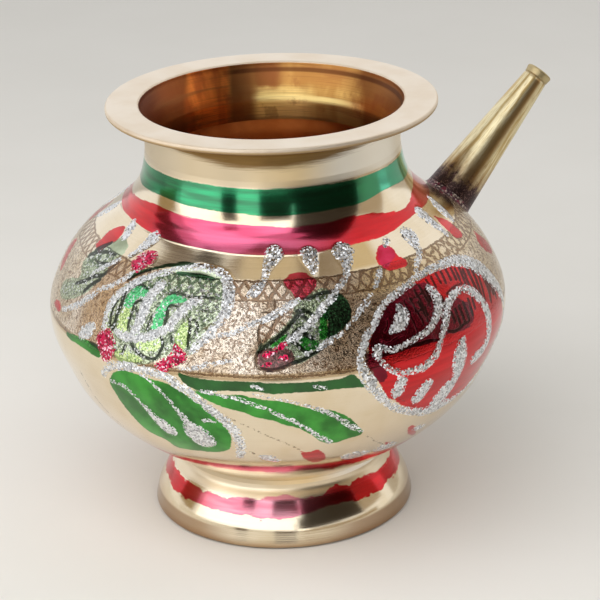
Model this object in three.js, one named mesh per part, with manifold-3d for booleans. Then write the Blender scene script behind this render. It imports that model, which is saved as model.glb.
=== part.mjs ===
// Small brass pouring pot with a slanting side spout: every size is in millimetres, height is +Z,
// the spout leans toward +X and the pot stands on Z = 0.
import * as THREE from 'three';
import { mergeVertices } from 'three/addons/utils/BufferGeometryUtils.js';
import Module from 'manifold-3d';

// How round everything is: sides of each turned piece, and of the slimmer spout.
const SIDES = 60;
const SPOUT_SIDES = 36;

// Body, spun in two halves that are brazed together at the belly.
const WALL = 1.1;
const BELLY_RADIUS = 55;
const BELLY_HEIGHT = 52.7;
const PAN_RADIUS = 13;
const PAN_HEIGHT = 9.4;
const SEAT_RADIUS = 24;
const SEAT_HEIGHT = 13.98;
const SEAM_THICK = 0.4;
const SEAM_SQUEEZE = 0.5;
const BODY_STEPS = 13;

// Collar: the neck's straight top, the broad flat rim and the sleeve that drops inside the shoulder.
const NECK_RADIUS = 30.2;
const COLLAR_HEIGHT = 10.1;
const SLEEVE_LENGTH = 3.4;
const SLEEVE_WALL = 1.1;
const RIM_TOP = 102.3;
const RIM_RADIUS = 39.05;
const RIM_EDGE = 1.5;
const RIM_ROUND = 0.6;
const RIM_FILLET = 3.2;
const MOUTH_RADIUS = 31.25;
const MOUTH_ROUND = 1.1;
const BELL_DEPTH = 7.9;

// Foot: a hollow flared ring with a plain upright band at its base.
const FOOT_RADIUS = 31.88;
const FOOT_BAND = 4.2;
const FOOT_CREASE = 0.6;
const FOOT_TREAD = 2.4;
const FOOT_WALL = 1.4;
const FOOT_ROUND = 0.75;
const BRAZE_INSET = 0.3;
const BRAZE_WIDTH = 1.2;
const BRAZE_LEAST = 0.3;

// Spout: how far above the belly its centre line meets the shoulder, its rise, length and radii.
const SPOUT_ABOVE_BELLY = 16.4;
const SPOUT_ANGLE_DEG = 46.5;
const SPOUT_LENGTH = 38.9;
const SPOUT_ROOT_RADIUS = 6.4;
const SPOUT_TIP_RADIUS = 2.9;
const SPOUT_ROOT_WALL = 1.0;
const SPOUT_TIP_WALL = 0.75;
const SPOUT_SINK = 9;
const LIP_LENGTH = 1.4;
const LIP_RADIUS = 3.5;
const LIP_ROUND = 0.45;
const BEAD_WIDTH = 1.3;
const BEAD_HEIGHT = 1.2;

// Clearances: sleeve in the shoulder, the spout's root on the shoulder, and braze on what it joins.
const SLEEVE_GAP = 0.2;
const SADDLE_GAP = 0.3;
const BRAZE_GAP = 0.02;

// Forms of the curved parts, each from one named place (0, 0) to the next (1, 1).
const PAN_FORM = [[0.38, 0.21]];
const LOWER_FORM = [
  [0.1, 0.053], [0.223, 0.119], [0.358, 0.195], [0.484, 0.273], [0.61, 0.361], [0.729, 0.465],
  [0.826, 0.582], [0.894, 0.702], [0.948, 0.808], [0.99, 0.92],
];
const UPPER_FORM = [
  [0.015, 0.08], [0.073, 0.185], [0.157, 0.291], [0.274, 0.396], [0.419, 0.488], [0.593, 0.573],
  [0.746, 0.648], [0.855, 0.72], [0.927, 0.794], [0.972, 0.882],
];
const FLARE_FORM = [[0.059, 0.082], [0.203, 0.214], [0.473, 0.469], [0.755, 0.725], [0.964, 0.908]];
const BELL_FORM = [[0.3, 0.33], [0.72, 0.67]];

const wasm = await Module();
wasm.setup();

function brass(name, hex, roughness) {
  return new THREE.MeshStandardMaterial({ name, color: hex, roughness, metalness: 1 });
}

// Sets a form between two [radius, height] places and keeps both of them as its ends.
function between(start, form, end) {
  const inside = form.map(([u, v]) => [
    start[0] + u * (end[0] - start[0]),
    start[1] + v * (end[1] - start[1]),
  ]);
  return [start, ...inside, end];
}

// Points of a round corner about a centre, from one angle to another in degrees.
function corner(radius, height, size, from, to, steps = 3) {
  return Array.from({ length: steps + 1 }, (_, i) => {
    const angle = THREE.MathUtils.degToRad(from + (to - from) * i / steps);
    return [radius + size * Math.cos(angle), height + size * Math.sin(angle)];
  });
}

// A smooth line through [radius, height] points, cut into equal steps.
function smooth(points, steps) {
  const curve = new THREE.CatmullRomCurve3(points.map(([r, z]) => new THREE.Vector3(r, z, 0)),
    false, 'centripetal');
  return curve.getSpacedPoints(steps).map((p) => [p.x, p.y]);
}

// The same line moved sideways: positive goes away from the axis.
function offset(points, distance) {
  return points.map(([r, z], i) => {
    const before = points[Math.max(i - 1, 0)];
    const after = points[Math.min(i + 1, points.length - 1)];
    const dr = after[0] - before[0];
    const dz = after[1] - before[1];
    const length = Math.hypot(dr, dz);
    return [Math.max(r + distance * dz / length, 0), z - distance * dr / length];
  });
}

// Signed area of a closed outline, used to turn every outline the same way round.
function area(points) {
  return points.reduce((sum, [r, z], i) => {
    const next = points[(i + 1) % points.length];
    return sum + r * next[1] - next[0] * z;
  }, 0) / 2;
}

// Turns a closed outline about the height axis; points on the axis make no hole there.
function turn(outline, sides = SIDES) {
  const path = area(outline) > 0 ? outline : [...outline].reverse();
  const onAxis = path.map(([r], i) => [r, i]).filter(([r]) => r < 1e-6).map(([, i]) => i);
  const ordered = onAxis.length
    ? rotateToAxis(path, onAxis)
    : [...path, path[0]];
  const lathe = new THREE.LatheGeometry(ordered.map(([r, z]) => new THREE.Vector2(r, z)), sides);
  lathe.rotateX(Math.PI / 2);
  return lathe;
}

// Starts the outline at the axis point it leaves from and ends it at the one it comes back to.
function rotateToAxis(path, onAxis) {
  const start = onAxis.find((i) => path[(i + 1) % path.length][0] > 1e-6);
  return path.map((_, i) => path[(start + i) % path.length]);
}

// Plain triangles with shared corners, as the cutting tool wants them.
function solid(geometry) {
  const plain = geometry.clone();
  plain.deleteAttribute('normal');
  plain.deleteAttribute('uv');
  const merged = mergeVertices(plain, 1e-4);
  const position = merged.getAttribute('position').array;
  const index = merged.getIndex().array;
  const kept = [];
  for (let i = 0; i < index.length; i += 3) {
    const [a, b, c] = [index[i], index[i + 1], index[i + 2]];
    if (a !== b && b !== c && c !== a) kept.push(a, b, c);
  }
  return new wasm.Manifold(new wasm.Mesh({
    numProp: 3,
    vertProperties: Float32Array.from(position),
    triVerts: Uint32Array.from(kept),
  }));
}

function geometryOf(manifold) {
  const mesh = manifold.getMesh();
  const geometry = new THREE.BufferGeometry();
  geometry.setAttribute('position', new THREE.BufferAttribute(Float32Array.from(mesh.vertProperties), 3));
  geometry.setIndex([...mesh.triVerts]);
  geometry.computeVertexNormals();
  return geometry;
}

function piece(name, geometry, material) {
  const mesh = new THREE.Mesh(geometryOf(solid(geometry)), material);
  mesh.name = name;
  return mesh;
}

// Body lines: the outer faces of the two halves, and their inner faces one wall further in.
const collarFoot = RIM_TOP - COLLAR_HEIGHT;
const neckJoint = collarFoot - SEAM_THICK;
const seamTop = BELLY_HEIGHT + SEAM_THICK / 2;
const seamLow = BELLY_HEIGHT - SEAM_THICK / 2;
const seat = [SEAT_RADIUS, SEAT_HEIGHT];
const belly = between(seat, LOWER_FORM, [BELLY_RADIUS, seamLow]);
const seatEnd = belly[1];
const pan = between([PAN_RADIUS, PAN_HEIGHT], PAN_FORM, seat);
const lowerOuter = [[0, PAN_HEIGHT], ...pan, ...smooth(belly.slice(1), BODY_STEPS - 1)];
const lowerInner = offset(lowerOuter, -WALL);
lowerInner.splice(-1, 1, [BELLY_RADIUS - WALL, seamLow]);
const upperOuter = smooth(between([BELLY_RADIUS, seamTop], UPPER_FORM, [NECK_RADIUS, neckJoint]),
  BODY_STEPS);
const upperInner = offset(upperOuter, -WALL);
upperInner.splice(0, 1, [BELLY_RADIUS - WALL, seamTop]);
upperInner.splice(-1, 1, [NECK_RADIUS - WALL, neckJoint]);

function lowerBowl() {
  return turn([...lowerOuter, ...[...lowerInner].reverse()]);
}

function upperBowl() {
  return turn([...upperOuter, ...[...upperInner].reverse()]);
}

function bellySeam() {
  const inner = BELLY_RADIUS - WALL - SEAM_SQUEEZE;
  return turn([[BELLY_RADIUS, seamLow], [BELLY_RADIUS, seamTop], [inner, seamTop], [inner, seamLow]]);
}

// Collar: it stands on the braze at the top of the neck, its sleeve inside the shoulder.
const sleeveOut = NECK_RADIUS - WALL - SLEEVE_GAP;
const sleeveIn = sleeveOut - SLEEVE_WALL;
const sleeveEnd = neckJoint - SLEEVE_LENGTH;
const rimUnder = RIM_TOP - RIM_EDGE;

function collar() {
  const fillet = corner(NECK_RADIUS + RIM_FILLET, rimUnder - RIM_ROUND - RIM_FILLET, RIM_FILLET, 180, 90, 4);
  const edgeLow = corner(RIM_RADIUS - RIM_ROUND, rimUnder + RIM_ROUND, RIM_ROUND, -90, 0, 2);
  const edgeTop = corner(RIM_RADIUS - RIM_ROUND, RIM_TOP - RIM_ROUND, RIM_ROUND, 0, 90, 2);
  const mouth = corner(MOUTH_RADIUS, RIM_TOP - MOUTH_ROUND, MOUTH_ROUND, 90, 180, 3);
  const bell = between([sleeveIn, RIM_TOP - BELL_DEPTH], BELL_FORM, mouth.at(-1));
  return turn([
    [NECK_RADIUS, collarFoot], ...fillet, ...edgeLow, ...edgeTop, ...mouth,
    ...bell.slice(0, -1).reverse(),
    [sleeveIn, sleeveEnd], [sleeveOut, sleeveEnd], [sleeveOut, collarFoot],
  ]);
}

function neckSeam() {
  const inner = NECK_RADIUS - WALL;
  return turn([
    [NECK_RADIUS, neckJoint], [NECK_RADIUS, collarFoot], [inner, collarFoot], [inner, neckJoint],
  ]);
}

// Height of the bowl's underside at a given radius of the seat.
function seatHeight(radius) {
  const [r1, z1] = seatEnd;
  return SEAT_HEIGHT + (z1 - SEAT_HEIGHT) * (radius - SEAT_RADIUS) / (r1 - SEAT_RADIUS);
}

// Foot: its top stops just under the seat and the braze fills the wedge between them.
const brazeIn = SEAT_RADIUS + BRAZE_INSET;
const brazeOut = brazeIn + BRAZE_WIDTH;
const footTop = seatHeight(brazeIn) - BRAZE_LEAST;

function footRing() {
  const bandTop = [FOOT_RADIUS - FOOT_CREASE, FOOT_BAND];
  const flare = between(bandTop, FLARE_FORM, [brazeOut, footTop]);
  const inside = offset(flare, -FOOT_WALL);
  const tread = FOOT_RADIUS - FOOT_ROUND - FOOT_TREAD;
  return turn([
    [FOOT_RADIUS - FOOT_ROUND, 0], [FOOT_RADIUS - FOOT_ROUND / 3, FOOT_BAND / 8],
    [FOOT_RADIUS, FOOT_BAND * 0.38], [FOOT_RADIUS, FOOT_BAND * 0.62],
    [FOOT_RADIUS - FOOT_CREASE / 2, FOOT_BAND * 0.88], ...flare,
    [brazeOut - FOOT_WALL, footTop], ...inside.slice(1, -1).reverse(),
    [tread, FOOT_BAND * 0.8], [tread, 0],
  ]);
}

function footSeam() {
  return turn([
    [brazeIn, footTop], [brazeOut, footTop],
    [brazeOut, seatHeight(brazeOut) - BRAZE_GAP], [brazeIn, seatHeight(brazeIn) - BRAZE_GAP],
  ]);
}

// Spout: its centre line starts on the shoulder, at the shoulder's own radius there.
function shoulderRadius(height) {
  const above = upperOuter.findIndex(([, z]) => z >= height);
  const [r1, z1] = upperOuter[above];
  const [r0, z0] = upperOuter[above - 1];
  return r0 + (r1 - r0) * (height - z0) / (z1 - z0);
}

const spoutHeight = BELLY_HEIGHT + SPOUT_ABOVE_BELLY;
const spoutRoot = shoulderRadius(spoutHeight);
const spoutLean = THREE.MathUtils.degToRad(SPOUT_ANGLE_DEG);

// Puts a piece turned about its own height axis onto the spout's leaning centre line.
function lean(geometry) {
  geometry.rotateY(Math.PI / 2 - spoutLean);
  geometry.translate(spoutRoot, 0, spoutHeight);
  return geometry;
}

function spoutRadius(along) {
  return SPOUT_ROOT_RADIUS + (SPOUT_TIP_RADIUS - SPOUT_ROOT_RADIUS) * along / SPOUT_LENGTH;
}

function boreRadius(along) {
  const root = SPOUT_ROOT_RADIUS - SPOUT_ROOT_WALL;
  const tip = SPOUT_TIP_RADIUS - SPOUT_TIP_WALL;
  return root + (tip - root) * along / SPOUT_LENGTH;
}

// The pot filled in from its base to its neck and swollen by a gap, to cut the spout's root with.
function filledPot(gap) {
  const face = offset(upperOuter, gap).slice(1);
  return solid(turn([
    [0, 0], [BELLY_RADIUS + gap, 0], [BELLY_RADIUS + gap, seamTop], ...face, [0, face.at(-1)[1]],
  ]));
}

const lipLow = SPOUT_LENGTH - LIP_LENGTH;

function spoutTube() {
  const tube = solid(lean(turn([
    [spoutRadius(-SPOUT_SINK), -SPOUT_SINK], [spoutRadius(lipLow), lipLow],
    [boreRadius(lipLow), lipLow], [boreRadius(-SPOUT_SINK), -SPOUT_SINK],
  ], SPOUT_SIDES)));
  return geometryOf(tube.subtract(filledPot(SADDLE_GAP)));
}

function spoutLip() {
  const bore = boreRadius(lipLow);
  const round = LIP_RADIUS - LIP_ROUND;
  return lean(turn([
    [bore, lipLow], [round, lipLow], [LIP_RADIUS, lipLow + LIP_ROUND],
    ...corner(round, SPOUT_LENGTH - LIP_ROUND, LIP_ROUND, 0, 90, 2),
    [bore + LIP_ROUND / 2, SPOUT_LENGTH], [bore, SPOUT_LENGTH - LIP_ROUND / 2],
  ], SPOUT_SIDES));
}

// Braze around the root: a collar on the tube, cut to a thin layer on the shoulder.
function spoutBead() {
  const ring = solid(lean(turn([
    [spoutRadius(-SPOUT_SINK) + BRAZE_GAP, -SPOUT_SINK],
    [spoutRadius(-SPOUT_SINK) + BEAD_WIDTH, -SPOUT_SINK],
    [spoutRadius(SPOUT_SINK) + BEAD_WIDTH, SPOUT_SINK],
    [spoutRadius(SPOUT_SINK) + BRAZE_GAP, SPOUT_SINK],
  ], SPOUT_SIDES)));
  return geometryOf(ring.intersect(filledPot(BEAD_HEIGHT)).subtract(filledPot(BRAZE_GAP)));
}

function drilledUpperBowl() {
  const bore = solid(lean(turn([
    [0, -SPOUT_SINK], [boreRadius(0), -SPOUT_SINK], [boreRadius(0), SPOUT_SINK], [0, SPOUT_SINK],
  ], SPOUT_SIDES)));
  return geometryOf(solid(upperBowl()).subtract(bore));
}

const pale = brass('polished brass', 0xd9c48f, 0.18);
const rimBrass = brass('brushed brass', 0xe3d5b4, 0.35);
const toned = brass('toned brass', 0xb08d4a, 0.3);
const braze = brass('braze', 0xc4a763, 0.45);

const pot = new THREE.Group();
pot.name = 'pouring_pot';
pot.add(piece('rim_collar', collar(), rimBrass));
pot.add(piece('neck_seam', neckSeam(), braze));
pot.add(piece('upper_bowl', drilledUpperBowl(), pale));
pot.add(piece('belly_seam', bellySeam(), braze));
pot.add(piece('lower_bowl', lowerBowl(), pale));
pot.add(piece('foot_seam', footSeam(), braze));
pot.add(piece('foot_ring', footRing(), pale));
pot.add(piece('spout_tube', spoutTube(), toned));
pot.add(piece('spout_bead', spoutBead(), braze));
pot.add(piece('spout_lip', spoutLip(), toned));

// The spout reaches past the belly, so the pot's axis moves back until the outline is centred.
const reach = Math.max(...[lipLow + LIP_ROUND, SPOUT_LENGTH - LIP_ROUND].map((along) => (
  spoutRoot + along * Math.cos(spoutLean) + LIP_RADIUS * Math.sin(spoutLean)
)));
pot.position.x = (BELLY_RADIUS - reach) / 2;

export default pot;
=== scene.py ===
"""Spouted brass pot with brushed lacquer, glitter lines and a chased band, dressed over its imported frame."""
import math

import bpy
import numpy as np
from mathutils import Matrix


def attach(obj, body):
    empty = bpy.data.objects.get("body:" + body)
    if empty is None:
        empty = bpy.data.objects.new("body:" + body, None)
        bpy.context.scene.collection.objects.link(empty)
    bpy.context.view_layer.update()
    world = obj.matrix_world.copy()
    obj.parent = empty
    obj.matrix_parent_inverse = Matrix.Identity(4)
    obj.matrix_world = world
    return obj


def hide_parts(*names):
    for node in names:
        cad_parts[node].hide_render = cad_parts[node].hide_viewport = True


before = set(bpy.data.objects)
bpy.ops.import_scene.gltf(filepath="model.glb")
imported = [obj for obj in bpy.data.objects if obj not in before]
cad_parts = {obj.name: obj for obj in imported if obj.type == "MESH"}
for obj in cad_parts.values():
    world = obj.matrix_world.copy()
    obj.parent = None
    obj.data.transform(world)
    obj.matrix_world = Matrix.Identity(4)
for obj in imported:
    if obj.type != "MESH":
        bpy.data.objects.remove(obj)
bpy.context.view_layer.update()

MM = 0.001
AXIS_X = -10.7425
SPOUT_TURN = 115.4

# Sizes of the pot in millimetres, the same as in the frame.
WALL = 1.1
BELLY_RADIUS = 55
SEAM_LOW, SEAM_TOP = 52.5, 52.9
PAN_RADIUS, PAN_HEIGHT = 13, 9.4
SEAT = (24, 13.98)
NECK_RADIUS = 30.2
NECK_JOINT, COLLAR_FOOT = 91.8, 92.2
RIM_TOP, RIM_RADIUS, RIM_EDGE, RIM_ROUND, RIM_FILLET = 102.3, 39.05, 1.5, 0.6, 3.2
MOUTH_RADIUS, MOUTH_ROUND, BELL_LOW = 31.85, 0.8, 92.8
SLEEVE_END, SLEEVE_OUT, SLEEVE_IN = 88.4, 28.9, 27.8
FOOT_RADIUS, FOOT_BAND, FLARE_INSET, FOOT_TREAD, FOOT_WALL, FOOT_ROUND = 31.88, 4.2, 0.82, 2.4, 1.4, 0.75
FOOT_TOP, BRAZE_IN, BRAZE_OUT = 13.88, 24.3, 25.5
SPOUT_RADIAL, SPOUT_HEIGHT, SPOUT_ANGLE, SPOUT_LENGTH = 47.4, 69.1, 46.5, 38.9
ROOT_RADIUS, TIP_RADIUS, ROOT_WALL, TIP_WALL = 6.4, 2.9, 1.0, 0.75
LIP_LENGTH, LIP_RADIUS, LIP_ROUND = 2.2, 3.34, 0.45
BEAD_WIDTH, BEAD_HEIGHT = 1.1, 1.3

# Outlines between two places, as shares of the way outward and upward. The belly's two follow the fit.
LOWER_FORM = [
    (0.1, 0.053), (0.223, 0.119), (0.358, 0.195), (0.484, 0.273), (0.61, 0.361), (0.729, 0.465),
    (0.826, 0.582), (0.894, 0.702), (0.948, 0.808), (0.99, 0.92),
]
UPPER_FORM = [
    (0.015, 0.08), (0.073, 0.185), (0.157, 0.291), (0.274, 0.396), (0.419, 0.488), (0.593, 0.573),
    (0.746, 0.648), (0.855, 0.72), (0.927, 0.794), (0.972, 0.882),
]
FLARE_FORM = [
    (0.05, 0.075), (0.17, 0.214), (0.44, 0.469), (0.745, 0.725), (0.86, 0.795), (0.965, 0.863),
    (0.998, 0.914),
]
BELL_FORM = [(0.26, 0.33), (0.62, 0.67)]
PAN_FORM = [(0.38, 0.21)]

FAR = 9.0


def between(start, form, end):
    """Points of a form set between two (radius, height) places."""
    return [start] + [(start[0] + u * (end[0] - start[0]), start[1] + v * (end[1] - start[1]))
                      for u, v in form] + [end]


def even(points, step):
    """The same line in equal steps of about the given length."""
    points = np.asarray(points, float)
    along = np.r_[0, np.cumsum(np.linalg.norm(np.diff(points, axis=0), axis=1))]
    count = max(int(round(along[-1] / step)), 1)
    at = np.linspace(0, along[-1], count + 1)
    return np.stack([np.interp(at, along, column) for column in points.T], axis=1)


def smooth(points, step):
    """A natural cubic line through the points, in equal steps."""
    points = np.asarray(points, float)
    knots = np.r_[0, np.cumsum(np.sqrt(np.linalg.norm(np.diff(points, axis=0), axis=1)))]
    gap = np.diff(knots)
    count = len(knots)
    system = np.eye(count)
    wanted = np.zeros_like(points)
    for i in range(1, count - 1):
        system[i, i - 1:i + 2] = gap[i - 1], 2 * (gap[i - 1] + gap[i]), gap[i]
        wanted[i] = 6 * ((points[i + 1] - points[i]) / gap[i] - (points[i] - points[i - 1]) / gap[i - 1])
    bend = np.linalg.solve(system, wanted)
    at = np.linspace(0, knots[-1], 40 * count)
    k = np.clip(np.searchsorted(knots, at, side="right") - 1, 0, count - 2)
    h = gap[k][:, None]
    a = (knots[k + 1] - at)[:, None] / h
    b = 1 - a
    line = a * points[k] + b * points[k + 1] + ((a**3 - a) * bend[k] + (b**3 - b) * bend[k + 1]) * h**2 / 6
    return even(line, step)


def arc(radius, height, size, start, end, steps):
    """Points of a round corner about (radius, height), angles in degrees."""
    angles = np.radians(np.linspace(start, end, steps + 1))
    return np.stack([radius + size * np.cos(angles), height + size * np.sin(angles)], axis=1)


def normals(line):
    """Unit vectors to the right of a line, which is away from the axis on a wall going up."""
    along = np.gradient(np.asarray(line, float), axis=0)
    along /= np.linalg.norm(along, axis=1)[:, None]
    return np.stack([along[:, 1], -along[:, 0]], axis=1)


def shifted(line, distance):
    """The line moved sideways: positive goes away from the axis on a wall going up."""
    moved = np.asarray(line, float) + distance * normals(line)
    moved[:, 0] = np.maximum(moved[:, 0], 0)
    return moved


# The body's outer line from the seat to the neck, as radius and length along it by height.
lower_points = between(SEAT, LOWER_FORM, (BELLY_RADIUS, SEAM_LOW))
upper_points = between((BELLY_RADIUS, SEAM_TOP), UPPER_FORM, (NECK_RADIUS, NECK_JOINT))
body_line = smooth(lower_points + upper_points + [(NECK_RADIUS, 94.5), (NECK_RADIUS, 98)], 0.1)
body_arc = np.r_[0, np.cumsum(np.linalg.norm(np.diff(body_line, axis=0), axis=1))]


def body_radius(height):
    return np.interp(height, body_line[:, 1], body_line[:, 0])


def body_reach(height):
    """Length along the body's line from the seat up to a height."""
    reach = np.interp(height, body_line[:, 1], body_arc)
    return reach if np.ndim(reach) else float(reach)


def body_part(low, high, step):
    """Equal steps of the body's line between two heights, with both ends exact."""
    inside = body_line[(body_line[:, 1] > low + 0.05) & (body_line[:, 1] < high - 0.05)]
    ends = [(float(body_radius(h)), h) for h in (low, high)]
    return even([ends[0], *inside, ends[1]], step)


def place(turn, radius, height):
    """Points of the row frame, in millimetres, from degrees round the pot, radius and height."""
    angle = np.radians(np.asarray(turn, float) - SPOUT_TURN)
    return np.stack([radius * np.cos(angle) + AXIS_X, radius * np.sin(angle), height + 0 * angle], axis=-1)


def on_body(points):
    """Places on the body for (degrees round the pot, height) pairs."""
    points = np.asarray(points, float)
    return place(points[:, 0], body_radius(points[:, 1]), points[:, 1])


def flare_line(step):
    """The foot's outer line, from its upright band up to the braze."""
    return smooth(between((FOOT_RADIUS - FLARE_INSET, FOOT_BAND), FLARE_FORM, (BRAZE_OUT, FOOT_TOP)), step)


# The camera of the photo, fitted to the pot's outlines: mm behind the axis and over the floor, then degrees.
CAMERA_BACK, CAMERA_UP = 510.7, 256.2
CAMERA_PAN, CAMERA_PITCH, CAMERA_ROLL = 0.60, 21.89, -1.68
CAMERA_LENS, SENSOR = 136.0, 36.0
PHOTO_SIDE = 600
RAY_NEAR, RAY_FAR, RAY_STEP = 420, 640, 0.1
MM_PER_PIXEL, MOST_PER_PIXEL = 0.26, 0.55

pot_line = np.concatenate([flare_line(0.2), body_line[1:]])


def camera_axes():
    """The camera's forward, right and up, seen from the pot's axis with the camera in front at -Y."""
    pan, pitch, roll = (math.radians(v) for v in (CAMERA_PAN, CAMERA_PITCH, CAMERA_ROLL))
    forward = np.array([math.sin(pan) * math.cos(pitch), math.cos(pan) * math.cos(pitch), -math.sin(pitch)])
    level = np.cross(forward, (0, 0, 1))
    level /= np.linalg.norm(level)
    up = np.cross(level, forward)
    return forward, level * math.cos(roll) + up * math.sin(roll), up * math.cos(roll) - level * math.sin(roll)


def cast(pixels):
    """Where the camera's rays through points of the photo first meet the pot, and which of them do."""
    forward, right, up = camera_axes()
    lens = CAMERA_LENS / SENSOR * PHOTO_SIDE
    across, down = ((np.asarray(pixels, float) - PHOTO_SIDE / 2) / lens).T[:, :, None]
    rays = forward + across * right - down * up
    far = np.arange(RAY_NEAR, RAY_FAR, RAY_STEP)
    eye = np.array([0, -CAMERA_BACK, CAMERA_UP])
    spots = eye + rays[:, None] * far[:, None]
    radius = np.interp(spots[..., 2], pot_line[:, 1], pot_line[:, 0], left=0, right=0)
    gap = np.hypot(spots[..., 0], spots[..., 1]) - radius
    first = np.maximum((gap < 0).argmax(axis=1), 1)
    ray = np.arange(len(rays))
    before, after = gap[ray, first - 1], gap[ray, first]
    reach = far[first - 1] + RAY_STEP * before / (before - after)
    return eye + rays * reach[:, None], (gap < 0).any(axis=1)


def on_pot(pixels):
    """Points of the photo as (degrees round the pot, height)."""
    spots, _ = cast(pixels)
    return np.stack([np.degrees(np.arctan2(spots[:, 0], -spots[:, 1])), spots[:, 2]], axis=1)


def line_on_pot(points):
    """A line's (across, down, half width) in the photo as (degrees, height, half width) on the pot."""
    points = np.array(points, float)
    pixels, half = points[:, :2], points[:, 2]
    along = np.gradient(pixels, axis=0)
    along /= np.linalg.norm(along, axis=1)[:, None]
    reach = np.maximum(half, 1)
    aside = np.stack([-along[:, 1], along[:, 0]], axis=1) * reach[:, None]
    one, one_met = cast(pixels + aside)
    other, other_met = cast(pixels - aside)
    wide = np.linalg.norm(one - other, axis=1) / 2 * half / reach
    wide = np.where(one_met & other_met, wide, half * MM_PER_PIXEL)
    return np.column_stack([on_pot(pixels), np.minimum(wide, half * MOST_PER_PIXEL)])


def spout_frame():
    """Root of the spout's centre line, its direction and the two directions across it."""
    lean = math.radians(SPOUT_ANGLE)
    root = np.array([SPOUT_RADIAL + AXIS_X, 0, SPOUT_HEIGHT])
    axis = np.array([math.cos(lean), 0, math.sin(lean)])
    over = np.array([-math.sin(lean), 0, math.cos(lean)])
    return root, axis, over, np.array([0.0, -1.0, 0.0])


def add_node(tree, kind, inputs=(), **settings):
    """A node with its settings, and each input linked to a value or set to a constant."""
    made = tree.nodes.new(kind)
    for key, setting in settings.items():
        setattr(made, key, setting)
    for key, value in dict(inputs).items():
        if isinstance(value, Value):
            value = value.socket
        if isinstance(value, bpy.types.NodeSocket):
            tree.links.new(value, made.inputs[key])
        else:
            made.inputs[key].default_value = value
    return made


class Value:
    """An output in a material's graph. Sums written with values build the graph's own sums."""

    def __init__(self, shader, socket):
        self.shader = shader
        self.socket = socket

    def __add__(self, other):
        return self.shader.math("ADD", self, other)

    def __radd__(self, other):
        return self.shader.math("ADD", other, self)

    def __sub__(self, other):
        return self.shader.math("SUBTRACT", self, other)

    def __rsub__(self, other):
        return self.shader.math("SUBTRACT", other, self)

    def __mul__(self, other):
        return self.shader.math("MULTIPLY", self, other)

    def __truediv__(self, other):
        return self.shader.math("DIVIDE", self, other)

    def __pow__(self, other):
        return self.shader.math("POWER", self, other)

    def __abs__(self):
        return self.shader.math("ABSOLUTE", self)


class Shader:
    """Builds one procedural material by calls that each return a value."""

    def __init__(self, name):
        self.material = bpy.data.materials.new(name)
        self.material.use_nodes = True
        self.tree = self.material.node_tree
        self.tree.nodes.clear()
        self.known = {}

    def __getitem__(self, name):
        """A number that the mesh carries under this name."""
        if name not in self.known:
            self.known[name] = self.value("ShaderNodeAttribute", output="Fac", attribute_name=name)
        return self.known[name]

    def value(self, kind, inputs=(), output=0, **settings):
        return Value(self, add_node(self.tree, kind, inputs, **settings).outputs[output])

    def math(self, operation, *values):
        return self.value("ShaderNodeMath", enumerate(values), operation=operation)

    def larger(self, *values):
        return self.math("MAXIMUM", *values)

    def smaller(self, *values):
        return self.math("MINIMUM", *values)

    def vector(self, operation, *values):
        inputs = dict(zip((0, "Scale") if operation == "SCALE" else (0, 1), values))
        output = "Value" if operation == "DOT_PRODUCT" else 0
        return self.value("ShaderNodeVectorMath", inputs, output, operation=operation)

    def mix(self, factor, a, b, blend="MIX"):
        return self.value("ShaderNodeMix", {0: factor, 6: a, 7: b}, 2, data_type="RGBA", blend_type=blend)

    def blend(self, factor, a, b):
        return self.value("ShaderNodeMix", {0: factor, 2: a, 3: b}, data_type="FLOAT")

    def step(self, value, low, high):
        """0 at low and 1 at high, smooth between."""
        numbers = (value, low, high, 0.0, 1.0)
        return self.value("ShaderNodeMapRange", enumerate(numbers), interpolation_type="SMOOTHSTEP")

    def where(self):
        """Place on the object in millimetres."""
        if "where" not in self.known:
            object_place = self.value("ShaderNodeTexCoord", output="Object")
            self.known["where"] = self.vector("SCALE", object_place, 1 / MM)
        return self.known["where"]

    def height(self):
        return self.value("ShaderNodeSeparateXYZ", {0: self.where()}, 2)

    def stretched(self, x, y, z):
        return self.vector("MULTIPLY", self.where(), (x, y, z))

    def noise(self, place_on, scale, detail=2.0, rough=0.5):
        inputs = {"Vector": place_on, "Scale": scale, "Detail": detail, "Roughness": rough}
        return self.value("ShaderNodeTexNoise", inputs)

    def cells(self, size, output):
        return self.value("ShaderNodeTexVoronoi", {"Vector": self.where(), "Scale": 1 / size}, output)

    def bump(self, height):
        """Bump whose height is in millimetres."""
        return self.value("ShaderNodeBump", {"Height": height, "Distance": MM})

    def finish(self, tint, roughness, normal, metallic=1.0, coat=0.0):
        surface = self.value("ShaderNodeBsdfPrincipled", {
            "Base Color": tint, "Roughness": roughness, "Normal": normal, "Metallic": metallic,
            "Coat Weight": coat, "Coat Roughness": 0.05,
        })
        add_node(self.tree, "ShaderNodeOutputMaterial", {0: surface})
        return self.material


def colour(red, green, blue):
    """A colour written in screen values from 0 to 255."""
    def linear(v):
        v /= 255
        return v / 12.92 if v <= 0.04045 else ((v + 0.055) / 1.055) ** 2.4
    return (linear(red), linear(green), linear(blue), 1.0)


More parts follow.
